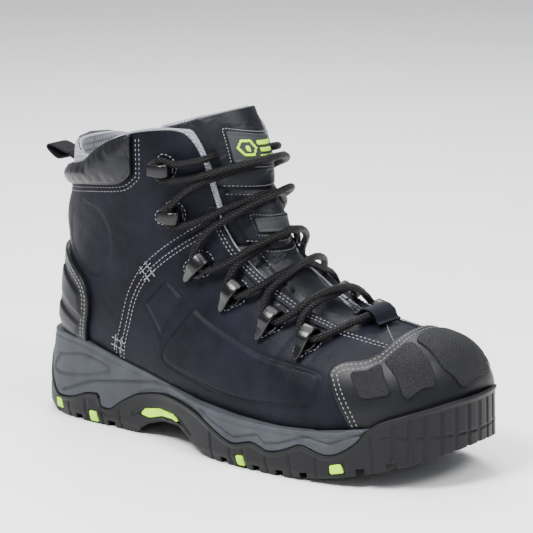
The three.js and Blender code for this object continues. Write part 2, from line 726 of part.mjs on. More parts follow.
for (const [place, outline] of Object.entries(LIME_BLOCKS)) {
  for (const side of ['lateral', 'medial']) {
    const [x0, x1] = side === 'lateral' ? [-80, -5] : [5, 80];
    const block = sidePrism(outline, x0, x1);
    const hole = sidePrism(widened(outline, 0.45), x0, x1);
    limePieces.push([`${place}_insert_${side}`, wallOuter.subtract(wallInner).intersect(block)]);
    const pocket = pocketOuter.subtract(pocketInner).intersect(hole);
    pockets = pockets ? pockets.add(pocket) : pocket;
  }
}
let outsole = soleWall(0).intersect(treadBand).subtract(soleCavity).subtract(pockets);
for (const g of grooves) outsole = outsole.subtract(g);
add('outsole', outsole, 'rubber');
for (const [name, shape] of limePieces) add(name, shape, 'lime');

const midsoleBand = under(MIDSOLE_TOP).subtract(under(OUTSOLE_TOP, GAP));
const midsole = soleWall(-0.5).intersect(midsoleBand).subtract(soleCavity);
add('midsole', midsole, 'midsole');

// ---------------------------------------------------------------- guards on top of the leather
// top of the sole: the midsole's edge, then the bumper of the outsole round the toe
const BUMPER_TOP = [[-107, 34.6], [-114, 39.3], [-124, 43.3], [-137, 47.8], [-170, 52.3]];
const midsoleEdge = MIDSOLE_TOP.slice(0, -1).map(([y, z]) => [y, z + GAP]);
const soleEnvelope = soleWall(GAP).intersect(under([...midsoleEdge, ...BUMPER_TOP]));
const guard = layer(OVERLAY + GAP, GAP).subtract(soleEnvelope);
const toeGuardZone = sidePrism([...TOE_GUARD_EDGE, [-200, 20], [-200, 100]], -90, 90);
const heelGuardZone = sidePrism([...HEEL_GUARD_EDGE, [160, 46]], -90, 90);
add('toe_guard', guard.intersect(toeGuardZone), 'guard');
add('heel_guard', guard.intersect(heelGuardZone), 'guard');

const padZone = belowCollar.intersect(sidePrism([...COLLAR_PAD_EDGE, [160, 200]], -90, 90));
const foamZone = belowCollar.intersect(
  sidePrism([[65, 190], [65, 159], [69, 153.5], [75, 151], [158, 145], [158, 190]], -90, 90));
const COVER = 1.6;
add('collar_foam', layer(COLLAR_PAD - COVER - GAP, GAP).intersect(foamZone), 'foam');
add('collar_cover', layer(COLLAR_PAD, COLLAR_PAD - COVER).intersect(padZone), 'collar');

// eyestay reinforcement along the throat, from the first loop to the last
const eyestayInner = THROAT_LATERAL.slice(6);
const eyestayOuter = [...eyestayInner].reverse().map(([y, z]) => [y + 6.5, z - 11.5]);
const eyestayZone = sidePrism([...eyestayInner.map(([y, z]) => [y + 0.2, z - 0.3]), ...eyestayOuter],
  -90, 90);
for (const side of ['lateral', 'medial']) {
  add(`eyestay_${side}`,
    clearOfLace(layer(1.5, GAP).intersect(eyestayZone).intersect(HALVES[side])), 'leather');
}

// ---------------------------------------------------------------- tongue
const TONGUE_OUT = liningInner - GAP;
const TONGUE_LEATHER = 1.6;
const TONGUE_PAD = 4.0;
const tongueZone = sidePrism([
  [-78, 60], [-78, 110], [-40, 215], [13, 196.5], [50, 183.5], [44, 170], [36, 152], [27, 132],
  [15, 112], [0, 98], [-20, 87], [-45, 79], [-62, 75],
], -90, 90);
add('tongue_cover', layer(TONGUE_OUT, TONGUE_OUT - TONGUE_LEATHER).intersect(tongueZone), 'leather');
const tonguePadOut = TONGUE_OUT - TONGUE_LEATHER - GAP;
add('tongue_padding', layer(tonguePadOut, tonguePadOut - TONGUE_PAD).intersect(tongueZone), 'foam');
const tongueLiningOut = tonguePadOut - TONGUE_PAD - GAP;
add('tongue_lining', layer(tongueLiningOut, tongueLiningOut - 1.2).intersect(tongueZone), 'mesh');

const LABEL_SIDES = [-19, 15];
const labelZone = sidePrism([[-60, 171], [-60, 190], [40, 176], [40, 157]],
  ...LABEL_SIDES);
const LABEL_THICK = 1.5;
const labelBase = TONGUE_OUT + GAP;
add('tongue_label', clearOfLace(layer(labelBase + LABEL_THICK, labelBase).intersect(labelZone)
  .intersect(box(-90, 90, -60, 30, 100, 230))), 'patch');
const emblemZone = sidePrism([[-60, 176], [-60, 185], [40, 171], [40, 162]], -14, 10);
add('label_emblem', layer(labelBase + LABEL_THICK + 1.1, labelBase + LABEL_THICK + GAP)
  .intersect(emblemZone).intersect(box(-90, 90, -60, 30, 100, 230)), 'lime');
const badgeZone = sidePrism([[-60, 134], [-60, 144], [40, 124], [40, 114]], -17, 17);
add('tongue_badge', layer(labelBase + 1.0, labelBase).intersect(badgeZone)
  .intersect(box(-90, 90, -60, 12, 90, 150)), 'patch');

// ---------------------------------------------------------------- pull loop at the back
const PULL_WIDTH = 16;
const PULL_AT = [139.6, 153];
function pullLoop() {
  const outer = new THREE.Shape();
  outer.moveTo(-0.6, 0);
  outer.quadraticCurveTo(8, -5.5, 16.5, 0.5);
  outer.quadraticCurveTo(19.6, 3, 18.4, 5.4);
  outer.quadraticCurveTo(16.8, 7.4, 13, 6.2);
  outer.quadraticCurveTo(7, 4.6, -0.6, 2.4);
  outer.closePath();
  const hole = new THREE.Path();
  hole.moveTo(4.6, 0.2);
  hole.quadraticCurveTo(9, -1.8, 15.4, 2.2);
  hole.quadraticCurveTo(17.2, 3.6, 16.4, 4.7);
  hole.quadraticCurveTo(10.6, 4, 4.6, 0.8);
  hole.closePath();
  outer.holes.push(hole);
  const g = new THREE.ExtrudeGeometry(outer, { depth: PULL_WIDTH, bevelEnabled: false, curveSegments: 5 });
  g.translate(PULL_AT[0], PULL_AT[1], -PULL_WIDTH / 2);
  g.applyMatrix4(SIDE_TO_WORLD);
  return g;
}
add('pull_loop', pullLoop(), 'webbing');

export default boot;
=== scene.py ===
"""Safety work boot: the looks of every piece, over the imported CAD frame.

Shapes are worked out in millimetres in the last's own frame (toe towards -Y, lateral side
towards -X, floor at z 0) and moved to the row frame, in metres, when a piece is made.
"""
import math
import bpy
import numpy as np
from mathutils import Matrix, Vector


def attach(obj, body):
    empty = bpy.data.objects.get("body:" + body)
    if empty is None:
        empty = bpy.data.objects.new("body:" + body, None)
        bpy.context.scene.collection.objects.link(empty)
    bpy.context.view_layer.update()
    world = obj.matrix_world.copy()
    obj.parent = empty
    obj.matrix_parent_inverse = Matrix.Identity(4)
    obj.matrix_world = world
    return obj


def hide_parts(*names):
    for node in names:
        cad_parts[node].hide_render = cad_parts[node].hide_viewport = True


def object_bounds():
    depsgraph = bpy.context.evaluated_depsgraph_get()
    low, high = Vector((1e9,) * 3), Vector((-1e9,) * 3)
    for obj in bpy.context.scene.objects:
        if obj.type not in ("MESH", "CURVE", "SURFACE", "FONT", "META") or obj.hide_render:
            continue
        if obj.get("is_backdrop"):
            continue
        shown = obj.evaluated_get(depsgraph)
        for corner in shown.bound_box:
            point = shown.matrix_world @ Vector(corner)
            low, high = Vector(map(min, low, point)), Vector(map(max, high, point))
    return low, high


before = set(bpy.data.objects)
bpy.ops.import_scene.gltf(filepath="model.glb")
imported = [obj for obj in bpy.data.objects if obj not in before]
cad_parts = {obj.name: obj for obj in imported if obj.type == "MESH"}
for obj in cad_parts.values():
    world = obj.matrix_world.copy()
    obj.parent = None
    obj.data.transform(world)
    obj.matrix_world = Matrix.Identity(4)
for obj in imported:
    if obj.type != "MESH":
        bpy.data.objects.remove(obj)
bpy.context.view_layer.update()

CENTRE = np.array([-2.75, 5.15, 0.0])
MM = 0.001


def unit(vectors):
    return vectors / np.maximum(np.linalg.norm(vectors, axis=-1, keepdims=True), 1e-9)


least = np.minimum.reduce


def travelled(points):
    """Distance run along a polyline up to each of its points."""
    return np.concatenate([[0], np.cumsum(np.linalg.norm(np.diff(points, axis=0), axis=1))])


def triangles(quads):
    for a, b, c, d in quads.tolist():
        yield a, b, c
        yield a, c, d


# ------------------------------------------------------------------ the last: sections and lines
SECTIONS = np.array([
    [-141.5, 46, -141.5, 44, 0.6, 0.6, 9, 0.5, 2, 2],
    [-140, 57, -140, 33, 17, 16, 9, 0.55, 2, 2.2],
    [-134.5, 67.5, -135, 26, 28.5, 26, 8, 0.6, 2.1, 2.6],
    [-124, 75.7, -125, 20, 38.5, 34.5, 6, 0.65, 2.2, 3],
    [-107, 79, -106, 18, 46.5, 41.5, 4, 0.68, 2.2, 3.3],
    [-83, 83.3, -78, 18, 52, 47, 1, 0.72, 2.1, 3.5],
    [-61, 88.7, -48, 18, 54.5, 48.5, 0, 0.74, 2, 3.5],
    [-43.5, 98.5, -14, 19, 52.5, 45, 0, 0.74, 2, 3.3],
    [-30, 112, 28, 19.5, 47, 40, 0, 0.72, 2, 3],
    [-21.5, 124, 70, 25.5, 42.5, 38.5, 0, 0.66, 2, 2.8],
    [-17.5, 137, 112, 34, 41, 38.5, 0, 0.6, 2, 2.8],
    [-12, 147.5, 138, 49, 40.5, 39, 0, 0.56, 2, 2.6],
    [-9.5, 156, 138.5, 72, 40.5, 39, 0, 0.55, 2, 2.4],
    [-8.5, 163.5, 137, 98, 40.5, 39.5, 0, 0.54, 2, 2.2],
    [-6, 171, 138.3, 120, 41, 40, 0, 0.53, 2, 2.2],
    [-3, 178, 134, 138, 41.5, 40.5, 0, 0.53, 2, 2.2],
    [0.5, 186, 133, 152, 42, 41, 0, 0.53, 2, 2.2],
    [6, 195, 131, 170, 42, 41, 0, 0.53, 2, 2.2],
    [13, 208, 129, 190, 41, 40, 0, 0.53, 2, 2.2],
])
SOLE_PLAN = np.array([
    [0, 151], [-16, 147.5], [-28, 137.5], [-35, 121.5], [-38, 102], [-38.5, 78], [-41, 50],
    [-48, 24], [-55.5, -5], [-58.5, -34], [-57.5, -67], [-53.5, -94], [-44, -119], [-29, -137],
    [-8, -147], [12, -147.5], [30, -140.5], [42, -125], [49.5, -101], [53, -75], [51.5, -45],
    [45, -15], [37.5, 14], [34, 44], [34.5, 76], [36, 101], [34, 122], [27.5, 138], [16, 148]])

# side-view lines, y and z
TREAD_LINE = [
    (-160, 30), (-147, 22), (-135, 17), (-120, 12), (-100, 7), (-80, 3), (-56, 0), (-8, 0), (4, 2.5),
    (14, 7.5), (26, 13.5), (41, 12.5), (54, 8), (62, 3), (69, 0), (138, 0), (146, 2), (160, 4)]
OUTSOLE_TOP = [
    (-170, 52), (-147, 50.5), (-137, 47.5), (-124, 43), (-114, 39), (-107, 34), (-101, 26), (-91, 19),
    (-82, 17.5), (-69, 21), (-61, 18), (-53, 15), (-46, 14), (-40, 16), (-34, 17), (-22, 14), (-11, 17),
    (6, 24.5), (18, 27.5), (30, 29), (41, 29), (52, 27), (63, 24), (75, 17.5), (82, 12.5), (86, 11.2),
    (91, 12), (93, 15), (92, 17.5), (95, 19), (103, 18), (112, 14.5), (121, 12.7), (129, 13), (137, 21),
    (142, 31), (147, 42), (151, 47), (170, 47)]
MIDSOLE_TOP = [
    (-170, 34), (-107, 34.3), (-92, 31.5), (-78, 30), (-53, 28.5), (-21, 29), (12, 31.5), (48, 37.5),
    (79, 43.5), (106, 49.5), (128, 50.5), (151, 49), (170, 49)]
COLLAR_LINE = [
    (160, 150.5), (138, 150.5), (131, 151), (122, 153), (114, 155.7), (101, 159.5), (93, 165.2),
    (83, 171.7), (73, 176.7), (61, 180.5), (45, 183.2), (36, 183.4), (30, 181.5), (24, 175), (20, 167)]
RIM_LINE = [
    (160, 168), (134, 168), (124, 166.5), (114, 163), (104, 162), (93, 166.8),
    (83, 173), (73, 178), (61, 181.8), (45, 184.5), (34, 184.6)]
THROAT_LATERAL = [
    (33, 184), (28, 181), (22.5, 172), (18.5, 162), (15.2, 150), (12, 139), (9, 131), (-2, 117),
    (-16, 106), (-36, 95), (-52, 87), (-72, 81)]
THROAT_MEDIAL = [
    (26, 184), (19, 182), (13.5, 177), (11, 168), (9.5, 158), (9, 139), (7, 131), (-2, 117),
    (-16, 106), (-36, 95), (-52, 87), (-72, 81)]
FLANK_SEAM = [(-6, 141), (11, 133), (26, 124), (43, 112), (57, 99), (66, 84), (71.5, 66), (76, 52), (82, 30)]
TOE_GUARD_EDGE = [(-103.5, 100), (-103.5, 76), (-84, 66.5), (-80, 63.5), (-79, 60), (-82, 55), (-97, 25)]
HEEL_GUARD_EDGE = [(160, 104), (134, 103), (121, 98), (110, 92), (102.5, 86), (99, 79), (99, 70), (102, 58), (107, 40)]
COLLAR_PAD_EDGE = [(63, 200), (63, 160), (64.5, 155), (69, 151), (76, 148.7), (100, 145.5), (124, 142), (160, 140)]


def catmull(table, t):
    n = len(table) - 1
    i = np.clip(np.floor(t).astype(int), 0, n - 1)
    f = (t - i)[:, None]
    p1, p2 = table[i], table[i + 1]
    p0 = np.where((i > 0)[:, None], table[np.maximum(i - 1, 0)], 2 * p1 - p2)
    p3 = np.where((i + 2 <= n)[:, None], table[np.minimum(i + 2, n)], 2 * p2 - p1)
    return 0.5 * (2 * p1 + (p2 - p0) * f + (2 * p0 - 5 * p1 + 4 * p2 - p3) * f ** 2
                  + (3 * p1 - p0 - 3 * p2 + p3) * f ** 3)


def smooth_line(points, per=8):
    pts = np.array(points, float)
    return catmull(pts, np.linspace(0, len(pts) - 1, (len(pts) - 1) * per + 1))


def height_on(line, y):
    pts = np.array(line, float)
    order = np.argsort(pts[:, 0])
    return np.interp(y, pts[order, 0], pts[order, 1])


def smoothstep(x, a, b):
    f = np.clip((x - a) / (b - a), 0, 1)
    return f * f * (3 - 2 * f)


def rings(t, count):
    """Cross sections at t: front centre, down the lateral side, back up the medial side."""
    fy, fz, by, bz, wl, wm, xc, wide, nf, nb = [c[:, None] for c in catmull(SECTIONS, t).T]
    a = np.linspace(0, math.pi, 480)[None, :]
    c, s = np.cos(a), np.sin(a)
    e = np.where(c > 0, 2 / nf, 2 / nb)
    r = np.where(c > 0, wide * (1 - np.abs(c) ** e), wide + (1 - wide) * np.abs(c) ** e)
    out = np.empty((len(t), count, 3))
    half = count // 2
    for sign, width in ((-1, wl), (1, wm)):
        p = np.stack([xc + sign * width * np.abs(s) ** e, fy + (by - fy) * r, fz + (bz - fz) * r], -1)
        d = np.concatenate([np.zeros((len(t), 1)),
                            np.cumsum(np.linalg.norm(np.diff(p, axis=1), axis=2), axis=1)], 1)
        for k in range(len(t)):
            at = np.linspace(0, d[k, -1], half + 1)
            q = np.stack([np.interp(at, d[k], p[k, :, m]) for m in range(3)], -1)
            if sign < 0:
                out[k, :half] = q[:-1]
            else:
                out[k, half:] = q[:0:-1]
    return out


# ------------------------------------------------------------------ grids and patches
class Grid:
    """A periodic grid of points with outward normals; fields on it pick and shape the patches."""

    def __init__(self, points):
        self.rows, self.cols = points.shape[:2]
        wrap = np.roll(points, -1, 1) - np.roll(points, 1, 1)
        normal = unit(np.cross(np.gradient(points, axis=0), wrap))
        self.p = points.reshape(-1, 3)
        self.n = normal.reshape(-1, 3)
        i, j = np.meshgrid(np.arange(self.rows - 1), np.arange(self.cols), indexing="ij")
        a = i * self.cols + j
        b = i * self.cols + (j + 1) % self.cols
        self.quads = np.stack([a, a + self.cols, b + self.cols, b], -1).reshape(-1, 4)
        step = np.linalg.norm(np.diff(points, axis=1, append=points[:, :1]), axis=2)
        u = np.concatenate([np.zeros((self.rows, 1)), np.cumsum(step, 1)[:, :-1]], 1)
        half = self.cols // 2
        u[:, half:] -= u[:, half:half + 1] * 2
        v = np.concatenate([[0], np.cumsum(np.median(np.linalg.norm(np.diff(points, axis=0), axis=2), 1))])
        self.uv = np.stack([u, np.repeat(v[:, None], self.cols, 1)], -1).reshape(-1, 2)

    def face_out(self, centre):
        if np.mean(np.sum((self.p - centre) * self.n, 1)) < 0:
            self.n = -self.n
            self.quads = self.quads[:, ::-1]


def polygon_field(grid, polygon, axes=(1, 2), closed=True):
    """Distance along the surface to an outline drawn in a flat view, positive inside it."""
    a, b = axes
    q = grid.p[:, [a, b]]
    pts = np.array(polygon, float)
    ends = np.roll(pts, -1, 0) if closed else pts[1:]
    starts = pts if closed else pts[:-1]
    best = np.full(len(q), 1e9)
    away = np.zeros_like(q)
    inside = np.zeros(len(q), bool)
    for s, e in zip(starts, ends):
        d = e - s
        f = np.clip(((q - s) @ d) / max(d @ d, 1e-12), 0, 1)[:, None]
        off = q - (s + f * d)
        dist = np.hypot(off[:, 0], off[:, 1])
        near = dist < best
        best = np.where(near, dist, best)
        away[near] = off[near]
        if abs(e[1] - s[1]) > 1e-12:
            cross = ((s[1] > q[:, 1]) != (e[1] > q[:, 1])) & (
                q[:, 0] < (e[0] - s[0]) * (q[:, 1] - s[1]) / (e[1] - s[1]) + s[0])
            inside ^= cross
    unit = away / np.maximum(best, 1e-6)[:, None]
    lean = np.sum(unit * grid.n[:, [a, b]], 1)
    true = best / np.sqrt(np.clip(1 - lean ** 2, 0.12, 1))
    return np.where(inside, true, -true)


class Patch:
    """The part of a grid where a field is positive, cut cleanly along its zero line."""

    def __init__(self, grid, field):
        self.grid = grid
        inside = field > 0
        quads = grid.quads
        count = inside[quads].sum(1)
        faces = [tuple(q) for q in quads[count == 4].tolist()]
        cuts = {}

        def crossing(p, q):
            key = (p, q) if p < q else (q, p)
            if key not in cuts:
                cuts[key] = len(cuts)
            return -1 - cuts[key]

        for tri in triangles(quads[(count > 0) & (count < 4)]):
            face = []
            for k in range(3):
                p, q = tri[k], tri[(k + 1) % 3]
                if inside[p]:
                    face.append(p)
                if inside[p] != inside[q]:
                    face.append(crossing(p, q))
            if len(face) >= 3:
                faces.append(tuple(face))
        used = sorted({v for f in faces for v in f if v >= 0})
        place = {v: k for k, v in enumerate(used)}
        keys = list(cuts)
        base = len(used)
        self.faces = [tuple(place[v] if v >= 0 else base - 1 - v for v in f) for f in faces]
        first = np.array(used + [k[0] for k in keys], int)
        second = np.array(used + [k[1] for k in keys], int)
        fa, fb = field[first], field[second]
        gap = np.where(first == second, 1.0, fa - fb)
        self.w = np.where(first == second, 0.0, fa / np.where(np.abs(gap) < 1e-12, 1, gap))
        self.first, self.second = first, second

    def get(self, values):
        w = self.w if values.ndim == 1 else self.w[:, None]
        return values[self.first] * (1 - w) + values[self.second] * w

    def boundary(self):
        edges = {}
        for f in self.faces:
            for k in range(len(f)):
                edges[(f[k], f[(k + 1) % len(f)])] = True
        after = {}
        for a, b in edges:
            if (b, a) not in edges:
                after.setdefault(a, []).append(b)
        loops = []
        while after:
            start = next(iter(after))
            loop = [start]
            here = start
            while True:
                nexts = after.get(here)
                if not nexts:
                    break
                there = nexts.pop()
                if not nexts:
                    del after[here]
                if there == start:
                    break
                loop.append(there)
                here = there
            if len(loop) > 5:
                loops.append(np.array(loop))
        return loops


def to_row(points):
    return (np.asarray(points, float) - CENTRE) * MM


def make(name, points, faces, material, body, nodes=(), uv=None):
    mesh = bpy.data.meshes.new(name)
    mesh.from_pydata(to_row(points).tolist(), [], [list(map(int, f)) for f in faces])
    mesh.validate()
    if uv is not None:
        layer = mesh.uv_layers.new(name="along")
        loop_vertex = np.empty(len(mesh.loops), int)
        mesh.loops.foreach_get("vertex_index", loop_vertex)
        layer.data.foreach_set("uv", (np.asarray(uv)[loop_vertex] * MM * 10).astype(np.float32).ravel())
    mesh.polygons.foreach_set("use_smooth", [True] * len(mesh.polygons))
    piece = bpy.data.objects.new(name, mesh)
    bpy.context.scene.collection.objects.link(piece)
    mesh.materials.append(material)
    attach(piece, body)
    present = [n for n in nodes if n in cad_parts]
    if present:
        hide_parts(*present)
    return piece


def skinned(patch, height, edge, thick, turn=90, steps=5, flip=False):
    """Points, faces and uv of a patch `height` out from its grid, its edge rolled over.

    The roll turns by `turn` degrees in `steps`, with radius `edge`. A roll of 90 degrees then
    drops to `thick` below the top. With `flip` the patch faces inwards.
    """
    grid = patch.grid
    normal = unit(patch.get(grid.n))
    h = height if np.ndim(height) == 0 else patch.get(height)[:, None]
    pts = [patch.get(grid.p) + normal * h]
    uvs = [patch.get(grid.uv)]
    faces = list(patch.faces)
    out_sign = -1.0 if flip else 1.0
    base = len(pts[0])
    angles = [math.radians(turn * (k + 1) / steps) for k in range(steps)]
    profile = [(edge * math.sin(a), edge * (1 - math.cos(a))) for a in angles]
    if turn == 90 and thick > edge:
        profile.append((edge, thick))
    for loop in patch.boundary():
        top = pts[0][loop]
        nrm = normal[loop] * out_sign
        out = unit(np.cross(np.roll(top, -1, 0) - np.roll(top, 1, 0), normal[loop]))
        for _ in range(4):
            out = unit(out + np.roll(out, 1, 0) + np.roll(out, -1, 0))
        below = loop
        n = len(loop)
        for side, down in profile:
            pts.append(top + out * side - nrm * down)
            uvs.append(uvs[0][loop] + [side + down, side + down])
            here = np.arange(base, base + n)
            for k in range(n):
                m = (k + 1) % n
                faces.append((below[k], here[k], here[m], below[m]))
            below = here
            base += n
    if flip:
        faces = [f[::-1] for f in faces]
    return np.concatenate(pts), faces, np.concatenate(uvs)


def swollen(points, faces, held, pressure, most, frames=14, scale=0.01):
    """The points after a short cloth simulation under pressure, none moved more than `most` mm.

    The simulated copy is `scale` metres to the millimetre, larger than life, which keeps the
    solver steady.
    """
    mesh = bpy.data.meshes.new("cloth_copy")
    mesh.from_pydata((points * scale).tolist(), [], [list(map(int, f)) for f in faces])
    copy = bpy.data.objects.new("cloth_copy", mesh)
    bpy.context.scene.collection.objects.link(copy)
    copy.vertex_groups.new(name="held").add([int(k) for k in np.nonzero(held)[0]], 1.0, "REPLACE")
    cloth = copy.modifiers.new("cloth", "CLOTH")
    cloth.point_cache.frame_start, cloth.point_cache.frame_end = 1, frames
    cloth.collision_settings.use_collision = False
    settings = cloth.settings
    settings.quality, settings.mass = 5, 0.3
    settings.tension_stiffness = settings.compression_stiffness = 12
    settings.shear_stiffness, settings.bending_stiffness = 5, 4.0
    settings.use_pressure, settings.uniform_pressure_force = True, pressure
    settings.shrink_min = -0.008
    settings.vertex_group_mass = "held"
    settings.effector_weights.gravity = 0
    for step in range(1, frames + 1):
        bpy.context.scene.frame_set(step)
    result = copy.evaluated_get(bpy.context.evaluated_depsgraph_get()).data
    flat = np.empty(len(points) * 3)
    result.vertices.foreach_get("co", flat)
    bpy.data.objects.remove(copy)
    bpy.context.scene.frame_set(1)
    moved = flat.reshape(-1, 3) / scale - points
    length = np.maximum(np.linalg.norm(moved, axis=1, keepdims=True), 1e-9)
    return points + moved / length * most * np.tanh(length / most)


def panel(name, grid, field, height, material, body, slot, nodes=(), edge=0.8, thick=1.6,
          swell=None, **roll):
    """A piece over the part of a grid where `field` is positive.

    swell: where the cloth is free (positive), its pressure, and the most it moves, in mm.
    """
    patch = Patch(grid, field - edge)
    pts, faces, uv = skinned(patch, height, edge, thick, **roll)
    if swell:
        free, pressure, most = swell
        held = np.ones(len(pts), bool)
        held[:len(patch.first)] = patch.get(free) < 0
        pts = swollen(pts, faces, held, pressure, most)
    return make(name, pts, faces, material, body, nodes, uv)


def contours(grid, field, level, keep):
    """Polylines on the grid where the field is at `level` and `keep` is positive."""
    value = field - level
    near = np.abs(value[grid.quads]).min(1) < 6
    segments = {}
    points = {}
    for tri in triangles(grid.quads[near]):
        hits = []
        for k in range(3):
            p, q = tri[k], tri[(k + 1) % 3]
            if (value[p] > 0) != (value[q] > 0):
                key = (p, q) if p < q else (q, p)
                points[key] = value[key[0]] / (value[key[0]] - value[key[1]])
                hits.append(key)
        if len(hits) == 2:
            segments.setdefault(hits[0], []).append(hits[1])
            segments.setdefault(hits[1], []).append(hits[0])
    lines = []
    left = set(segments)
    while left:
        ends = [k for k in left if len(segments[k]) == 1]
        start = min(ends) if ends else min(left)
        chain = [start]
        left.discard(start)
        here = start
        while True:
            ahead = [k for k in segments[here] if k in left]
            if not ahead:
                break
            here = ahead[0]
            left.discard(here)
            chain.append(here)
        if len(chain) < 4:
            continue
        f = np.array([points[k] for k in chain])[:, None]
        a = np.array([k[0] for k in chain])
        b = np.array([k[1] for k in chain])
        p = grid.p[a] * (1 - f) + grid.p[b] * f
        n = grid.n[a] * (1 - f) + grid.n[b] * f
        good = (keep[a] * (1 - f[:, 0]) + keep[b] * f[:, 0]) > 0
        run = []
        for k in range(len(chain)):
            if good[k]:
                run.append(k)
            if (not good[k] or k == len(chain) - 1) and len(run) > 3:
                lines.append((p[run], n[run]))
                run = []
            elif not good[k]:
                run = []
    return lines


def resample(points, normals, pitch):
    """Evenly spaced points along a line, with its direction and normal at each."""
    reach = 0.4
    d = travelled(points)
    count = max(int(d[-1] / pitch), 1)
    middle = (np.arange(count) + 0.5) * d[-1] / count

    def sample(values, at):
        return np.stack([np.interp(at, d, values[:, k]) for k in range(3)], -1)

    along = sample(points, middle + reach) - sample(points, middle - reach)
    return sample(points, middle), unit(along), unit(sample(normals, middle))


class Thread:
    """Collects stitches on a grid: short rounded grains lying along its contours."""

    SIDES = 6
    # place along the grain, radius and height, as shares of half its length and its radius
    RINGS = [(-1.0, 0.25, -0.55), (-0.7, 0.85, 0.0), (0.0, 1.0, 0.25), (0.7, 0.85, 0.0), (1.0, 0.25, -0.55)]

    def __init__(self, grid):
        self.grid = grid
        self.points = []
        self.faces = []

    def grain(self, p, along, normal, length, radius):
        side = np.cross(along, normal)
        first = len(self.points)
        n = self.SIDES
        for x, r, up in self.RINGS:
            for k in range(n):
                a = 2 * math.pi * k / n
                self.points.append(p + along * x * length / 2 + side * math.cos(a) * r * radius
                                   + normal * (math.sin(a) * r * radius + up * radius))
        last = len(self.points) - n
        for b in range(first, last, n):
            self.faces += [(b + k, b + (k + 1) % n, b + n + (k + 1) % n, b + n + k) for k in range(n)]
        self.faces.append(tuple(range(first, first + n))[::-1])
        self.faces.append(tuple(range(last, last + n)))

    def seam(self, field, level, keep, height, pitch=2.6, length=1.75, radius=0.29):
        """Stitches where the field is at `level`, `height` over the grid."""
        for points, normals in contours(self.grid, field, level, keep):
            for p, along, n in zip(*resample(points, normals, pitch)):
                self.grain(p + n * height, along, n, length, radius)

    def build(self, name, body):
        make(name, np.array(self.points), self.faces, STITCH, body)


# ------------------------------------------------------------------ materials
def nodes_of(name, base, roughness, **inputs):
    m = bpy.data.materials.new(name)
    m.use_nodes = True
    tree = m.node_tree
    shader = tree.nodes["Principled BSDF"]
    shader.inputs["Base Color"].default_value = (*base, 1)
    shader.inputs["Roughness"].default_value = roughness
    for key, value in inputs.items():
        shader.inputs[key.replace("_", " ")].default_value = value
    return m, tree, shader


def noise(tree, scale, detail=3.0, rough=0.55):
    at = tree.nodes.new("ShaderNodeTexCoord")
    n = tree.nodes.new("ShaderNodeTexNoise")
    n.inputs["Scale"].default_value = scale
    n.inputs["Detail"].default_value = detail
    n.inputs["Roughness"].default_value = rough
    tree.links.new(at.outputs["Object"], n.inputs["Vector"])
    return n.outputs["Fac"]


def cells(tree, scale):
    at = tree.nodes.new("ShaderNodeTexCoord")
    v = tree.nodes.new("ShaderNodeTexVoronoi")
    v.inputs["Scale"].default_value = scale
    tree.links.new(at.outputs["Object"], v.inputs["Vector"])
    return v.outputs["Distance"]


def maths(tree, kind, *values):
    m = tree.nodes.new("ShaderNodeMath")
    m.operation = kind
    for k, value in enumerate(values):
        if isinstance(value, (int, float)):
            m.inputs[k].default_value = value
        else:
            tree.links.new(value, m.inputs[k])
    return m.outputs[0]


def ramp(tree, fac, stops):
    r = tree.nodes.new("ShaderNodeValToRGB")
    ramp_ = r.color_ramp
    while len(ramp_.elements) < len(stops):
        ramp_.elements.new(0.5)
    for element, (at, colour) in zip(ramp_.elements, stops):
        element.position = at
        element.color = (*colour, 1)
    tree.links.new(fac, r.inputs["Fac"])
    return r.outputs["Color"]


def bump(tree, shader, heights):
    """heights: a height output, its depth in metres and its strength, one bump on the next."""
    last = None
    for height, depth, strength in heights:
        b = tree.nodes.new("ShaderNodeBump")
        b.inputs["Strength"].default_value = strength
        b.inputs["Distance"].default_value = depth
        tree.links.new(height, b.inputs["Height"])
        if last:
            tree.links.new(last, b.inputs["Normal"])
        last = b.outputs["Normal"]
    tree.links.new(last, shader.inputs["Normal"])


def tint(colour, share):
    return tuple(min(c * share, 1) for c in colour)


def vary(tree, shader, base, low, high, scale, roughness=None):
    """Uneven colour between two shares of the base, and roughness from a low value up by a span."""
    n = noise(tree, scale, 4.0, 0.6)
    tone = ramp(tree, n, [(0.3, tint(base, low)), (0.7, tint(base, high))])
    tree.links.new(tone, shader.inputs["Base Color"])
    if roughness:
        lowest, span = roughness
        tree.links.new(maths(tree, "MULTIPLY_ADD", n, span, lowest), shader.inputs["Roughness"])


def leather(name, base, roughness, grain=1.0, gloss=0.2):
    m, tree, shader = nodes_of(name, base, roughness, Specular_IOR_Level=gloss)
    vary(tree, shader, base, 0.6, 1.5, 38, (roughness - 0.12, 0.24))
    fine = cells(tree, 1500)
    pores = noise(tree, 2600, 2.0)
    creases = noise(tree, 170, 5.0, 0.65)
    bump(tree, shader, [(creases, 0.0014, 0.3 * grain), (fine, 0.0002, 0.35 * grain),
                        (pores, 0.0001, 0.4 * grain)])
    return m


def rubber(name, base, roughness, stipple=0.0, depth=0.0004, gloss=0.22):
    m, tree, shader = nodes_of(name, base, roughness, Specular_IOR_Level=gloss)
    vary(tree, shader, base, 0.8, 1.25, 60, (roughness - 0.08, 0.16))
    heights = [(noise(tree, 900, 3.0), 0.0002, 0.25)]
    if stipple:
        heights.append((cells(tree, 1500), depth, stipple))
    bump(tree, shader, heights)
    return m


def uv_axes(tree):
    at = tree.nodes.new("ShaderNodeUVMap")
    at.uv_map = "along"
    split = tree.nodes.new("ShaderNodeSeparateXYZ")
    tree.links.new(at.outputs["UV"], split.inputs[0])
    return split.outputs[0], split.outputs[1]


def wave(tree, value, per_unit):
    return maths(tree, "SINE", maths(tree, "MULTIPLY", value, 2 * math.pi * per_unit))


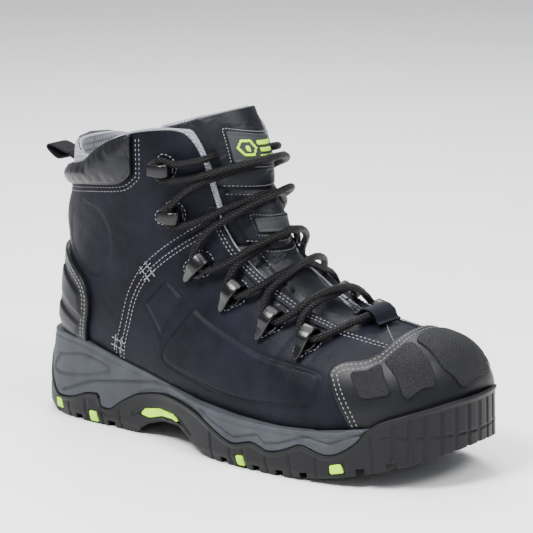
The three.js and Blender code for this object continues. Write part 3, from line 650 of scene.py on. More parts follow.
def knit(name, base):
    """Spacer mesh: staggered eyelets between knitted ribs."""
    m, tree, shader = nodes_of(name, base, 0.9, Sheen_Weight=0.3)
    u, v = uv_axes(tree)
    across = wave(tree, u, 21)
    along = wave(tree, v, 17)
    holes = maths(tree, "MULTIPLY", across, along)
    lift = maths(tree, "ABSOLUTE", holes)
    fuzz = noise(tree, 3000, 2.0)
    body = maths(tree, "MULTIPLY_ADD", lift, 0.75, 0.1)
    mix = maths(tree, "MULTIPLY", body, maths(tree, "ADD", fuzz, 0.5))
    tone = ramp(tree, mix, [(0.05, tint(base, 0.45)), (0.75, tint(base, 1.5))])
    tree.links.new(tone, shader.inputs["Base Color"])
    bump(tree, shader, [(mix, 0.0006, 0.8)])
    return m


def woven(name, base, fleck, across_count, along_count, roughness=0.75):
    """Braid or tape: two diagonal sets of yarns, with a lighter tracer yarn."""
    m, tree, shader = nodes_of(name, base, roughness, Specular_IOR_Level=0.22)
    u, v = uv_axes(tree)
    pu = maths(tree, "MULTIPLY", u, across_count)
    pv = maths(tree, "MULTIPLY", v, along_count)
    one = wave(tree, maths(tree, "ADD", pu, pv), 1)
    two = wave(tree, maths(tree, "SUBTRACT", pu, pv), 1)
    high = maths(tree, "MAXIMUM", one, two)
    both = maths(tree, "MULTIPLY", one, two)
    sparse = maths(tree, "MULTIPLY", wave(tree, pv, 1), wave(tree, pu, 0.5))
    tracer = maths(tree, "GREATER_THAN", sparse, 0.93)
    tone = ramp(tree, maths(tree, "MULTIPLY_ADD", both, 0.5, 0.5),
                [(0.2, tint(base, 0.5)), (0.9, tint(base, 1.7))])
    mix = tree.nodes.new("ShaderNodeMix")
    mix.data_type = "RGBA"
    tree.links.new(tracer, mix.inputs[0])
    tree.links.new(tone, mix.inputs[6])
    mix.inputs[7].default_value = (*fleck, 1)
    tree.links.new(mix.outputs[2], shader.inputs["Base Color"])
    bump(tree, shader, [(high, 0.0006, 1.0)])
    return m


BLACK = leather("nubuck", (0.0056, 0.0057, 0.0098), 0.48, gloss=0.09)
STRAP = leather("strap_leather", (0.0056, 0.0057, 0.0100), 0.5, 0.8, 0.09)
SOFT = leather("collar_leather", (0.0040, 0.0042, 0.0058), 0.36, 0.7, 0.3)
TONGUE = leather("tongue_leather", (0.0052, 0.0055, 0.0088), 0.42)
GUARD = rubber("toe_guard_rubber", (0.0036, 0.0038, 0.0048), 0.42)
PAD = rubber("grip_pad_rubber", (0.0060, 0.0062, 0.0072), 0.58, 0.9, 0.0006)
OUTSOLE = rubber("outsole_rubber", (0.0045, 0.0046, 0.0055), 0.50)
MIDSOLE = rubber("midsole_rubber", (0.0371, 0.0406, 0.0476), 0.58, 0.12, 0.0002)
LIME = rubber("lime_rubber", (0.44, 0.90, 0.008), 0.42)
PLASTIC = rubber("black_nylon", (0.0020, 0.0020, 0.0028), 0.24, gloss=0.36)
MESH = knit("grey_mesh", (0.20, 0.205, 0.235))
CORD = woven("lace_braid", (0.0022, 0.0022, 0.0028), (0.08, 0.08, 0.09), 60, 46, roughness=0.5)
TAPE = woven("pull_tape", (0.009, 0.009, 0.011), (0.012, 0.012, 0.014), 90, 90)
PATCH = rubber("patch_rubber", (0.030, 0.032, 0.034), 0.55)
INNER = rubber("inner_board", (0.12, 0.11, 0.09), 0.8)
FOOTBED = rubber("footbed_cloth", (0.05, 0.05, 0.055), 0.9, 0.6)
THREAD_GREY = (0.17, 0.17, 0.19)
STITCH, stitch_tree, stitch_shader = nodes_of("stitch_thread", THREAD_GREY, 0.6, Sheen_Weight=0.2)
vary(stitch_tree, stitch_shader, THREAD_GREY, 0.75, 1.3, 900)
bump(stitch_tree, stitch_shader, [(noise(stitch_tree, 6000, 2.0), 0.0001, 0.4)])

# ------------------------------------------------------------------ camera, floor and lights
def facing(azimuth, elevation):
    a, e = math.radians(azimuth), math.radians(elevation)
    return np.array([math.sin(a) * math.cos(e), -math.cos(a) * math.cos(e), math.sin(e)])


TARGET = np.array([0.04275, 0.02185, 0.0914])
VIEW_AZIMUTH, VIEW_ELEVATION, VIEW_DISTANCE = -53.5, 13, 1.6
camera = bpy.data.objects.new("camera", bpy.data.cameras.new("camera"))
bpy.context.scene.collection.objects.link(camera)
camera.location = (TARGET + facing(VIEW_AZIMUTH, VIEW_ELEVATION) * VIEW_DISTANCE).tolist()
camera.rotation_euler = (math.radians(90 - VIEW_ELEVATION), 0, math.radians(VIEW_AZIMUTH))
camera.data.lens = 181
camera.data.sensor_width = 36
camera.data.clip_end = 20
bpy.context.scene.camera = camera


def area_light(name, azimuth, elevation, distance, size, power):
    data = bpy.data.lights.new(name, "AREA")
    data.shape, data.size, data.energy = "DISK", size, power
    light = bpy.data.objects.new(name, data)
    bpy.context.scene.collection.objects.link(light)
    back = facing(azimuth, elevation)
    light.location = (np.array([0, 0, 0.08]) + back * distance).tolist()
    light.rotation_euler = (math.radians(90 - elevation), 0, math.radians(azimuth))


area_light("key", -95, 52, 1.3, 0.5, 30)
area_light("front", -10, 45, 1.5, 0.6, 16)
area_light("rear", 130, 50, 1.5, 0.7, 15)
area_light("overhead", 0, 88, 1.6, 1.4, 26)
world = bpy.data.worlds.new("studio")
world.use_nodes = True
sky = world.node_tree.nodes["Background"].inputs
sky["Color"].default_value = (0.93, 0.95, 1, 1)
sky["Strength"].default_value = 0.56
bpy.context.scene.world = world

PALE = (0.95, 0.95, 0.95)
FLOOR_HALF = 8
floor_paint, floor_tree, floor_shader = nodes_of("floor_paint", PALE, 0.85)
vary(floor_tree, floor_shader, PALE, 0.98, 1.01, 6)
floor = bpy.data.objects.new("floor", bpy.data.meshes.new("floor"))
floor.data.from_pydata([(x * FLOOR_HALF, y * FLOOR_HALF, 0) for x, y in ((-1, -1), (1, -1), (1, 1), (-1, 1))],
                       [], [(0, 1, 2, 3)])
floor.data.materials.append(floor_paint)
bpy.context.scene.collection.objects.link(floor)
floor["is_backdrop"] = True

# ------------------------------------------------------------------ grid of the upper
POINTS_ROUND = 300
coarse_t = np.linspace(0.25, len(SECTIONS) - 1.0, 900)
coarse = rings(coarse_t, 24)
coarse_d = np.concatenate([[0], np.cumsum(np.linalg.norm(np.diff(coarse, axis=0), axis=2).max(1))])
ring_t = np.interp(np.arange(0, coarse_d[-1], 1.25), coarse_d, coarse_t)
UP = Grid(rings(ring_t, POINTS_ROUND))
UP.face_out(np.array([0, 20, 60]))
column = np.tile(np.arange(UP.cols), UP.rows)
LATERAL = column < UP.cols // 2
FRONT = np.minimum(column, UP.cols - column) / (UP.cols / 2)      # 0 at the front line, 1 at the back
X, Y, Z = UP.p.T


def side_field(lateral, medial=None):
    a = polygon_field(UP, lateral)
    return a if medial is None else np.where(LATERAL, a, polygon_field(UP, medial))


def curve_points(points):
    return [tuple(p) for p in smooth_line(points, 5)]


below_collar = side_field(curve_points(COLLAR_LINE) + [(-160, 183.5), (-160, -40), (200, -40), (200, 150.5)])
below_rim = side_field(curve_points(RIM_LINE) + [(-160, 186), (-160, -40), (200, -40), (200, 168)])
OPENING_END = [(-74, 84), (-75, 110), (-75, 240), (70, 240), (45, 190)]
opening = side_field(curve_points(THROAT_LATERAL) + OPENING_END, curve_points(THROAT_MEDIAL) + OPENING_END)
leather_field = np.minimum(below_collar, -opening)
above_sole = Z - height_on(MIDSOLE_TOP, Y) + 4
behind_seam = side_field(curve_points(FLANK_SEAM) + [(90, -40), (220, -40), (220, 260), (-60, 260), (-20, 160)])
vamp_plan = np.where(Z > 62, polygon_field(UP, [(-22.5, -60), (-22.5, -75), (-21, -86), (-18, -106), (12, -106),
                                              (15, -86), (17, -75), (17, -60)], (0, 1)), -60)

# relief drawn on the quarters
wing_small = side_field([(54, 81), (40, 96), (29, 87), (42, 64)])
wing_large = side_field(curve_points([(20, 82), (5, 75), (-30, 65), (-54, 62), (-70, 60), (-74, 57), (-73, 50),
                                      (-67, 44), (-22, 39), (17, 44), (40, 53), (20, 82)]))
shaft_oval = side_field(curve_points([(106, 135), (120, 124), (122, 108), (106, 94), (91, 92), (83, 102), (82, 116),
                                      (90, 130), (106, 135)]))
ripples = 0.10 * np.sin(Y * 0.31 + 2.2 * np.sin(Z * 0.13) + X * 0.05) * np.sin(Z * 0.27 + 1.7 * np.sin(Y * 0.11))
slow = ripples + (np.sin(Y * 0.071 + Z * 0.05) + np.sin(Y * 0.033 - Z * 0.09 + 1.3) + np.sin(X * 0.11 + Z * 0.04)) * 0.11

flex = np.zeros(len(UP.p))
for at_y, at_z, depth in ((-60, 84, 0.7), (-49, 80, 0.55), (-70, 79, 0.5), (14, 108, 0.6), (22, 116, 0.5)):
    away = (Y - at_y) * 0.93 + (Z - at_z) * 0.38
    flex -= depth * np.exp(-(away / 2.4) ** 2) * np.exp(-((Z - at_z) / 16.0) ** 2)
quarter_top = slow + flex
for wing in (wing_small, wing_large):
    quarter_top += 1.25 * smoothstep(wing, -0.7, 1.6) - 0.5 * np.exp(-((wing + 0.9) / 0.8) ** 2)

# places of the hooks and loops, and of the tip of the stitched drop behind each
HARDWARE = [(42, 162, 48, 160.8), (37, 135, 44, 132.6), (18, 108, 25, 105), (-6, 94, -2, 88.5), (-34, 83, -30.5, 78),
            (-59, 75, -57, 71)]


def lobe(y0, z0, y1, z1, r0, r1):
    d = math.atan2(z1 - z0, y1 - y0)
    back = [(y0 + r0 * math.cos(d + a), z0 + r0 * math.sin(d + a)) for a in np.linspace(math.pi / 2, 1.5 * math.pi, 9)]
    tip = [(y1 + r1 * math.cos(d + a), z1 + r1 * math.sin(d + a)) for a in np.linspace(-math.pi / 2, math.pi / 2, 9)]
    return back + tip


strap = np.minimum(np.minimum(6.2 + opening, -opening), np.where(Z < 160, 141 - Z, -30))
strap = np.minimum(strap, Y + 72)
strap = np.where(FRONT < 0.8, strap, -50)
drops = [side_field(lobe(y, z, ty, tz, 7.6, 4.2)) for y, z, ty, tz in HARDWARE]


def softened(outline, rounds=3, cut=0.11):
    """An outline with its corners cut back, again and again."""
    pts = [np.array(p, float) for p in outline]
    for _ in range(rounds):
        pts = [q for a, b in zip(pts, pts[1:] + pts[:1]) for q in (a + (b - a) * cut, b + (a - b) * cut)]
    return [tuple(p) for p in pts]


TOE_BACK = [(-103.5, 130), (-103.5, 76), (-84, 66.5), (-80, 63.5), (-79, 60), (-82, 55), (-97, 25), (-99, -20),
            (-220, -20), (-220, 130)]
toe_field = side_field(curve_points(TOE_BACK[:8]) + TOE_BACK[8:])
toe_field = np.minimum(toe_field, np.where(Y < -70, 99, -99))
heel_field = side_field(curve_points(HEEL_GUARD_EDGE) + [(112, -30), (220, -30), (220, 104)])
heel_field = np.where(Y > 60, heel_field, -50)
heel_relief = side_field([(127, 92), (106, 79), (104, 65), (127, 76)])
heel_lower = side_field([(128, 70), (107, 60), (112, 52), (129, 60)])

THREAD_OF = Thread(UP)
up_keep = above_sole - 5
panel("quarters", UP, least([leather_field, above_sole, -behind_seam, -vamp_plan, Y + 112]), quarter_top,
      BLACK, "boot", "black_leather", ("quarter_lateral", "quarter_medial"), edge=0.8, thick=2.4)
panel("shaft_panels", UP, least([leather_field, above_sole, behind_seam + 5]),
      slow - 1.0 - 0.5 * smoothstep(shaft_oval, -1.2, 1.2), BLACK, "boot", "black_leather",
      ("shaft_panel_lateral", "shaft_panel_medial"), edge=0.7, thick=1.4)
panel("vamp_leather", UP, least([vamp_plan + 5, Y + 118, -opening + 2]), slow - 1.0, BLACK, "boot",
      "black_leather", ("vamp",), edge=0.6, thick=0.9)
panel("throat_bands", UP, strap, slow + 0.95, STRAP, "boot", "black_leather", ("eyestay_lateral", "eyestay_medial"),
      edge=0.6, thick=1.4)
for level in (2.0, 3.9):
    THREAD_OF.seam(-opening, level, least([strap + 1, 138 - Z, Y + 70]), 0.98)
for drop in drops:
    THREAD_OF.seam(drop, 0.0, np.minimum(-opening - 6.6, np.where(FRONT < 0.8, 9, -9)), 0.1)
quarter_keep = np.minimum(up_keep, leather_field - 1)
THREAD_OF.seam(-behind_seam, 2.2, np.minimum(quarter_keep, -strap - 0.5), 0.1)
THREAD_OF.seam(-behind_seam, 4.6, np.minimum(quarter_keep, -strap - 0.5), 0.1)
THREAD_OF.seam(behind_seam, 2.6, np.minimum(quarter_keep, 20), -0.95)
for level in (2.0, 4.4):
    THREAD_OF.seam(-vamp_plan, level, least([-opening - 1, Z - 64, -toe_field - 1]), 0.1)

vamp_seam = polygon_field(UP, [(8, -78), (1, -84), (-9, -93), (-17, -102)], (0, 1), closed=False)
THREAD_OF.seam(-vamp_seam, 1.1, least([vamp_plan - 1.5, -opening - 1, Z - 64, -toe_field]),
               -0.9)

# toe guard, its grip pads and the heel guard
toe_top = 2.1 + 0.15 * slow
panel("toe_guard_shell", UP, np.minimum(toe_field, above_sole + 8), toe_top, GUARD, "boot", "guard_rubber",
      ("toe_guard",), edge=1.0, thick=2.4)
for level in (2.3, 4.9):
    THREAD_OF.seam(toe_field, level, np.minimum(Z - height_on(MIDSOLE_TOP, Y) - 1, 20), 2.1)
pads = {
    "toe_pad_lateral": (np.where(LATERAL, 1, -1), [(-90, 62.5), (-102, 71), (-115.5, 52.5), (-100, 49)], (1, 2)),
    "toe_pad_medial": (np.where(LATERAL, -1, 1), [(-90, 62.5), (-102, 71), (-115.5, 52.5), (-100, 49)], (1, 2)),
    "toe_pad_upper_lateral": (np.sign(Z - 50), [(-30, -104), (-12.5, -111.5), (-19.5, -133), (-34, -122)], (0, 1)),
    "toe_pad_upper_medial": (np.sign(Z - 50), [(41, -104), (25, -111.5), (32.5, -133), (44, -122)], (0, 1)),
    "toe_pad_front": (np.sign(Z - 48), [(-11, -112), (23, -112), (27, -131), (20, -140), (-6, -140), (-14, -131)],
                      (0, 1)),
}
for name, (where, outline, axes) in pads.items():
    field = np.where(where > 0, polygon_field(UP, softened(outline), axes), -40)
    panel(name, UP, np.minimum(field, toe_field - 6), 3.2, PAD, "boot", "guard_rubber", edge=0.9, thick=1.6)
panel("heel_guard_shell", UP, np.minimum(heel_field, above_sole + 2),
      2.0 + 1.2 * smoothstep(heel_relief, -0.8, 1) + 1.2 * smoothstep(heel_lower, -0.8, 1), GUARD, "boot",
      "guard_rubber", ("heel_guard",), edge=1.0, thick=3.0)
for level in (2.2, 4.6):
    THREAD_OF.seam(heel_field, level, Z - height_on(MIDSOLE_TOP, Y) - 2, 2.0)

# bar tacks across the flank seam
for side in (-1, 1):
    mine = np.where((LATERAL if side < 0 else ~LATERAL) & (FRONT < 0.8), 0, 1e3)
    for y, z, tilt in ((54, 99.5, 0.75), (76, 53, 1.3)):
        k = int(np.argmin(np.hypot(Y - y, Z - z) + mine))
        up = UP.n[k]
        ahead = np.array([0, math.cos(tilt), -math.sin(tilt)])
        ahead -= up * (ahead @ up)
        ahead /= np.linalg.norm(ahead)
        aside = np.cross(up, ahead)
        for way, other in ((ahead, aside), (aside, ahead)):
            for shift in (-2.4, 2.4):
                for step in (-4.2, -1.4, 1.4, 4.2):
                    THREAD_OF.grain(UP.p[k] + up * 0.35 + way * step + other * shift, way, up, 2.5, 0.36)

# ------------------------------------------------------------------ collar cushion, mesh rim and lining
pad_field = np.minimum(below_collar, np.where(
    Y > 40, side_field(curve_points(COLLAR_PAD_EDGE) + [(220, 138), (220, 220)]), -50))
puff = np.clip(pad_field / 8.5, 0, 1)
puckers = 0.07 * np.sin(UP.uv[:, 0] * 0.9 + 2 * np.sin(UP.uv[:, 0] * 0.13)) * np.exp(-(pad_field / 5.0) ** 2)
cushion_top = 0.7 + 4.3 * np.sqrt(1 - (1 - puff) ** 2) + slow + puckers
cushion = panel("collar_cushion", UP, pad_field, cushion_top, SOFT, "boot", "collar_leather",
                ("collar_cover", "collar_foam"), edge=0.9, thick=2.8, swell=(pad_field - 2.5, 1.6, 0.5))
for level in (-2.0, -4.4):
    THREAD_OF.seam(pad_field, level, np.minimum(below_collar - 3, up_keep), -0.95)

rim_reach = np.minimum(below_rim, -opening + np.where(Z > 139, 3.0, 0.6))
band_field = np.minimum(rim_reach, 9 - below_collar)
side_band = np.minimum(rim_reach, 8 + opening)
panel("mesh_rim", UP, np.maximum(band_field, side_band), -1.8, MESH, "boot", "grey_mesh", edge=1.85,
      thick=1.85)
panel("shaft_lining", UP, least([rim_reach, Y + 88, Z - 21]), -6.1, MESH, "boot", "grey_mesh",
      ("lining",), edge=1.85, thick=1.85, flip=True)

# ------------------------------------------------------------------ tongue
TONGUE_TOP = [(-60, 222), (-25, 210), (0, 201), (13, 196.5), (30, 190.5), (50, 183.5)]
TONGUE_ZONE = TONGUE_TOP + [(44, 170), (36, 152), (27, 132), (15, 112), (0, 98), (-20, 87), (-45, 79), (-62, 75),
                            (-78, 60), (-84, 80), (-84, 200)]
tongue_field = np.where(FRONT < 0.6, side_field(TONGUE_ZONE), -50)
seams = np.minimum(np.abs(Z - 150.5 - X * 0.02), np.abs(Z - 121 - X * 0.05))
front_only = np.where((FRONT < 0.5) & (Z > 100), 0, -60)
label_field = polygon_field(UP, [(-21, 184.5), (10, 180.5), (12, 164), (-21, 166)], (0, 2)) + front_only
badge_field = polygon_field(UP, [(-18, 136), (17, 135), (17, 126.5), (-18, 127.5)], (0, 2)) + front_only
tongue_free = least([tongue_field - 3, seams - 3.5, -label_field - 3, -badge_field - 3])
bellows = np.where(Z < 150, 1.0, 0.3) * 0.8 * np.sin(np.clip(opening, 0, 12) * 0.75)
tongue_top = (-6.4 + 1.4 * smoothstep(opening, 2, 14) + bellows * 0.6 + slow
              - 1.1 * np.exp(-(seams / 1.5) ** 2))
tongue = panel("tongue_cushion", UP, tongue_field - 0.8, tongue_top, TONGUE, "tongue", "black_leather",
               ("tongue_cover", "tongue_padding"), edge=1.4, thick=3.0, swell=(tongue_free, 2.0, 0.5))
panel("tongue_back", UP, tongue_field + 0.6, -13.7, MESH, "tongue", "grey_mesh", ("tongue_lining",), edge=3.4, thick=6.8,
      turn=180, steps=10, flip=True)
TONGUE_THREAD = Thread(UP)
FRONT_HALF = np.where(FRONT < 0.5, 9, -9)
centre_keep = np.minimum(opening - 6.5, FRONT_HALF)
for at in (148.2, 152.8, 118.7, 123.3):
    TONGUE_THREAD.seam(Z - X * 0.03 - at, 0.0, centre_keep, -5.0)
TONGUE_THREAD.seam(opening, 9.5, least([118 - Z, centre_keep, Y + 70]), -5.2)

label_top = -4.1 + 0.45 * (1 - smoothstep(label_field, 0.8, 1.6))
panel("tongue_label_patch", UP, label_field, label_top, PATCH, "tongue", "grey_patch", ("tongue_label",), edge=0.6,
      thick=1.9)
TONGUE_THREAD.seam(label_field, -1.8, FRONT_HALF, -4.9, pitch=2.0, length=1.2)
hexagon = [(-12.6 + 6.0 * math.cos(a), 174.6 + 5.4 * math.sin(a)) for a in np.linspace(0, 2 * math.pi, 7)[:-1]]
emblem = polygon_field(UP, hexagon, (0, 2)) + front_only
emblem_field = np.minimum(emblem, 1.5 - emblem)
for x0, x1, z0, z1 in ((-5.4, 8.6, 176.2, 178.6), (-4.2, 7.6, 172.2, 174.6), (-5.4, 8.6, 168.2, 170.6),
                       (-13.8, -11.4, 173, 176.4)):
    bar = polygon_field(UP, [(x0, z0), (x1, z0 - 0.8), (x1, z1 - 0.8), (x0, z1)], (0, 2))
    emblem_field = np.maximum(emblem_field, bar + front_only)
panel("label_emblem_relief", UP, emblem_field, -3.5, LIME, "tongue", "lime_plastic", ("label_emblem",), edge=0.25,
      thick=0.9)
panel("tongue_badge_patch", UP, badge_field, -4.1 + 0.35 * (1 - smoothstep(badge_field, 0.8, 1.5)), PATCH, "tongue",
      "grey_patch", ("tongue_badge",), edge=0.5, thick=1.6)
TONGUE_THREAD.seam(badge_field, -1.8, FRONT_HALF, -5.0, pitch=2.0, length=1.2)
TONGUE_THREAD.build("tongue_stitches", "tongue")
THREAD_OF.build("upper_stitches", "boot")


# ------------------------------------------------------------------ sweeps in local frames
def swept(path, across, width, thick, corner=0.5, steps=4):
    """A rounded strip along a path: `across` is the direction of its width at each point."""
    n = len(path)
    normal = unit(np.cross(across, unit(np.gradient(path, axis=0))))
    hw, ht = np.broadcast_to(width, n) / 2, np.broadcast_to(thick, n) / 2
    r = np.minimum(corner, np.minimum(hw, ht) * 0.98)
    points = []
    for quarter in range(4):
        sx, sy = ((1, 1), (-1, 1), (-1, -1), (1, -1))[quarter]
        for k in range(steps + 1):
            a = math.pi / 2 * (quarter + k / steps)
            points.append((sx, sy, math.cos(a), math.sin(a)))
    rings_ = []
    for i in range(n):
        rings_.append([path[i] + across[i] * (sx * (hw[i] - r[i]) + ca * r[i])
                       + normal[i] * (sy * (ht[i] - r[i]) + sa * r[i])
                       for sx, sy, ca, sa in points])
    m = len(points)
    faces = [(i * m + k, i * m + (k + 1) % m, (i + 1) * m + (k + 1) % m, (i + 1) * m + k)
             for i in range(n - 1) for k in range(m)]
    faces += [tuple(range(m))[::-1], tuple((n - 1) * m + k for k in range(m))]
    d = travelled(path)
    girth = np.cumsum([0] + [np.linalg.norm(np.subtract(rings_[0][k + 1], rings_[0][k])) for k in range(m - 1)])
    uv = [(girth[k], d[i]) for i in range(n) for k in range(m)]
    return np.concatenate([np.array(g) for g in rings_]), faces, np.array(uv)


def on_upper(t, s, offset=0.0):
    both = rings(np.array([t, t + 0.05]), 80)
    u = ((-s + 2) % 2) * 40
    i, f = int(math.floor(u)) % 80, u - math.floor(u)
    p = both[0, i] * (1 - f) + both[0, (i + 1) % 80] * f
    q = both[1, i] * (1 - f) + both[1, (i + 1) % 80] * f
    round_ = both[0, (i + 1) % 80] - both[0, i]
    normal = np.cross(q - p, round_)
    return p + normal / np.linalg.norm(normal) * offset


def locate(side, y, z):
    """Section and side fraction of the place on the upper at a given y and z."""
    mine = LATERAL if side < 0 else ~LATERAL
    gap = np.hypot(Y - y, Z - z) + np.where(mine & (FRONT < 0.75), 0, 1e3)
    best = int(np.argmin(gap))
    t, s = ring_t[best // UP.cols], side * FRONT[best]
    return t, s


class Fitting:
    def __init__(self, side, number, y, z, hook):
        self.side, self.number, self.hook = side, number, hook
        self.t, self.s = locate(side, y, z)
        self.origin = on_upper(self.t, self.s)
        self.up = on_upper(self.t, self.s, 1) - self.origin
        along = on_upper(self.t + 0.2, self.s) - on_upper(self.t - 0.2, self.s)
        along -= self.up * (along @ self.up)
        self.along = along / np.linalg.norm(along)
        across = np.cross(self.along, self.up)
        self.across = across if across[0] * -side > 0 else -across
        self.rise = self.along * np.sign(self.along[2])

    def place(self, across, up, along=0.0):
        return self.origin + self.across * across + self.up * up + self.along * along


FITTINGS = {(side, n + 1): Fitting(side, n + 1, h[0], h[1], n < 2)
            for side in (-1, 1) for n, h in enumerate(HARDWARE)}
SIDE_NAME = {-1: "lateral", 1: "medial"}
RUN = np.linspace(0, 1, 61)
FOOT_POINTS = 33
for (side, number), fit in FITTINGS.items():
    if fit.hook:
        outline = [(-6.4, 2.3), (-2, 2.4), (2.5, 2.6), (4.9, 3.6), (5.9, 5.6), (5.7, 7.9), (4.3, 9.5), (2.0, 10.1),
                   (-1.5, 9.9), (-4.4, 9.5), (-5.8, 9.2)]
        width = np.interp(RUN, [0, 0.12, 0.3, 0.5, 0.75, 0.93, 1], [5, 8.5, 9, 8.2, 7.4, 6.6, 3.6])
        thick = np.interp(RUN, [0, 0.3, 0.5, 0.65, 0.93, 1], [0.9, 1.6, 2.2, 3.0, 2.8, 1.4])
        kind = "hook"
    else:
        outline = [(-14.2, 0.9), (-11.5, 2.3), (-8.2, 4.2), (-5.6, 6.4), (-3.4, 8.1), (0, 8.8), (3.4, 8.1), (5.6, 6.0),
                   (6.35, 3), (6.2, 0.2)]
        width = np.interp(RUN, [0, 0.1, 0.35, 0.6, 0.85, 1], [2.2, 4.6, 7.4, 8.4, 8.6, 10])
        thick = np.interp(RUN, [0, 0.2, 0.5, 1], [1.2, 2.6, 2.2, 2.0])
        kind = "loop"
    profile = smooth_line(outline, 8)
    at = np.linspace(0, 1, len(profile))
    profile = np.stack([np.interp(RUN, at, profile[:, k]) for k in (0, 1)], 1)
    path = np.array([fit.place(a, u) for a, u in profile])
    pts, faces, uv = swept(path, np.repeat(fit.along[None], len(RUN), 0), width, thick, 1.3)
    foot = np.array([fit.place(a, 1.75) for a in np.linspace(-8.6, 7.4, FOOT_POINTS)])
    round_off = np.sqrt(np.clip(1 - np.linspace(-1, 1, FOOT_POINTS) ** 4, 0.02, 1))
    f_pts, f_faces, f_uv = swept(foot, np.repeat(fit.along[None], FOOT_POINTS, 0), 12.2 * round_off, 1.3, 0.5)
    faces += [tuple(v + len(pts) for v in f) for f in f_faces]
    make(f"{kind}_{SIDE_NAME[side]}_{number}", np.concatenate([pts, f_pts]), faces, PLASTIC, "boot",
         (f"lace_{kind}_{SIDE_NAME[side]}_{number}",), np.concatenate([uv, f_uv]))

# ------------------------------------------------------------------ bootlace
KEEPER_T = locate(-1, -79, 83)[0]


def through(fit):
    half, height = (5, 6.1) if fit.hook else (4.5, 4.6)
    return [fit.origin + fit.up * height + fit.rise * d for d in (half, 0, -half)]


def lace_height(t, s, on_tongue):
    p = on_upper(t, s)
    edge = THROAT_LATERAL if s < 0 else THROAT_MEDIAL
    inside = height_on([(z, y) for y, z in edge], p[2]) - p[1]
    f = np.clip((inside - 1.5) / 10.5, 0, 1)
    return 5.4 + (on_tongue - 5.4) * f * f * (3 - 2 * f)


def crossing_points(a, b, on_tongue):
    per_section = np.linalg.norm(on_upper(a.t, a.s) - on_upper(a.t - 0.2, a.s)) / 0.2
    step = 9 / per_section
    out = []
    for f in (0.1, 0.28, 0.5, 0.72, 0.9):
        t = a.t - step + (b.t + step - a.t + step) * f
        s = a.s + (b.s - a.s) * f
        out.append(on_upper(t, s, lace_height(t, s, on_tongue)))
    return out


def lace_end(side):
    hook = FITTINGS[(side, 1)]
    t, s = locate(side, *((20, 168) if side < 0 else (11.5, 168)))
    return [on_upper(t, s * 0.83, -3.7), on_upper(t, s * 0.9, 1.5), on_upper(t, s + (hook.s - s) * 0.12, 4.8),
            on_upper(t + 0.15, s + (hook.s - s) * 0.6, 5.4)]


def lace_leg(start, on_tongue):
    points = lace_end(start)
    for number in range(1, 7):
        side = start if number % 2 else -start
        points += through(FITTINGS[(side, number)])
        if number < 6:
            points += crossing_points(FITTINGS[(side, number)], FITTINGS[(-side, number + 1)], on_tongue)
    return points


low = on_upper(KEEPER_T, 0, 3)
route = lace_leg(-1, 4.1) + [low + np.array([dx, 0, 0]) for dx in (11, 0, -11)] + lace_leg(1, -0.9)[::-1]
route = np.array(route)


def centripetal(points, spacing):
    ends = np.concatenate([[2 * points[0] - points[1]], points, [2 * points[-1] - points[-2]]])
    out = []
    for i in range(1, len(ends) - 2):
        p0, p1, p2, p3 = ends[i - 1:i + 3]
        t1 = np.linalg.norm(p1 - p0) ** 0.5
        t2 = t1 + np.linalg.norm(p2 - p1) ** 0.5
        t3 = t2 + np.linalg.norm(p3 - p2) ** 0.5
        for u in np.linspace(t1, t2, max(int(np.linalg.norm(p2 - p1) / spacing), 2), endpoint=False):
            a1 = (t1 - u) / t1 * p0 + u / t1 * p1
            a2 = (t2 - u) / (t2 - t1) * p1 + (u - t1) / (t2 - t1) * p2
            a3 = (t3 - u) / (t3 - t2) * p2 + (u - t2) / (t3 - t2) * p3
            b1 = (t2 - u) / t2 * a1 + u / t2 * a2
            b2 = (t3 - u) / (t3 - t1) * a2 + (u - t1) / (t3 - t1) * a3
            out.append((t2 - u) / (t2 - t1) * b1 + (u - t1) / (t2 - t1) * b2)
    out.append(points[-1])
    return np.array(out)


lace_path = centripetal(route, 1.1)
tangent = unit(np.gradient(lace_path, axis=0))
side_way = [np.cross(tangent[0], [0, 0, 1.0])]
for k in range(1, len(lace_path)):
    v = side_way[-1] - tangent[k] * (side_way[-1] @ tangent[k])
    side_way.append(v / np.linalg.norm(v))
bulge = 2.12 + 0.06 * np.sin(np.arange(len(lace_path)) * 1.1)
pts, faces, uv = swept(lace_path, np.array(side_way), 2 * bulge, 2 * bulge, 2.2, 4)
make("lace", pts, faces, CORD, "boot", ("bootlace",), uv)

# keeper strap and heel pull loop
keeper_up = on_upper(KEEPER_T, 0, 1) - on_upper(KEEPER_T, 0)
keeper_across = np.array([0, keeper_up[2], -keeper_up[1]])
keeper_profile = smooth_line([(-9.5, 0.9), (-7.5, 1.1), (-6, 2.6), (-4.4, 4.9), (0, 6.2), (4.4, 4.9), (6, 2.6), (7.5, 1.1),
                              (9.5, 0.9)], 7)
keeper_path = np.array([on_upper(KEEPER_T, 0) + keeper_across * a + keeper_up * u for a, u in keeper_profile])
pts, faces, uv = swept(keeper_path, np.repeat([[1.0, 0, 0]], len(keeper_path), 0), 20.5, 1.5, 0.7)
make("keeper_strap", pts, faces, STRAP, "boot", ("lace_keeper",), uv)

loop_profile = smooth_line([(-0.4, 0.4), (4.6, -1.2), (9.5, -1.9), (14.5, 0.9), (17.5, 3.5), (16.7, 5.3), (13.2, 5.2),
                            (8.6, 3.9), (4.2, 2.6), (-0.4, 1.9)], 8)
loop_path = np.array([(0.0, 139.6 + a, 153 + b) for a, b in loop_profile])
pts, faces, uv = swept(loop_path, np.repeat([[1.0, 0, 0]], len(loop_path), 0), 15.6, 1.25, 0.5)
make("heel_pull_loop", pts, faces, TAPE, "pull_tab", ("pull_loop",), uv)

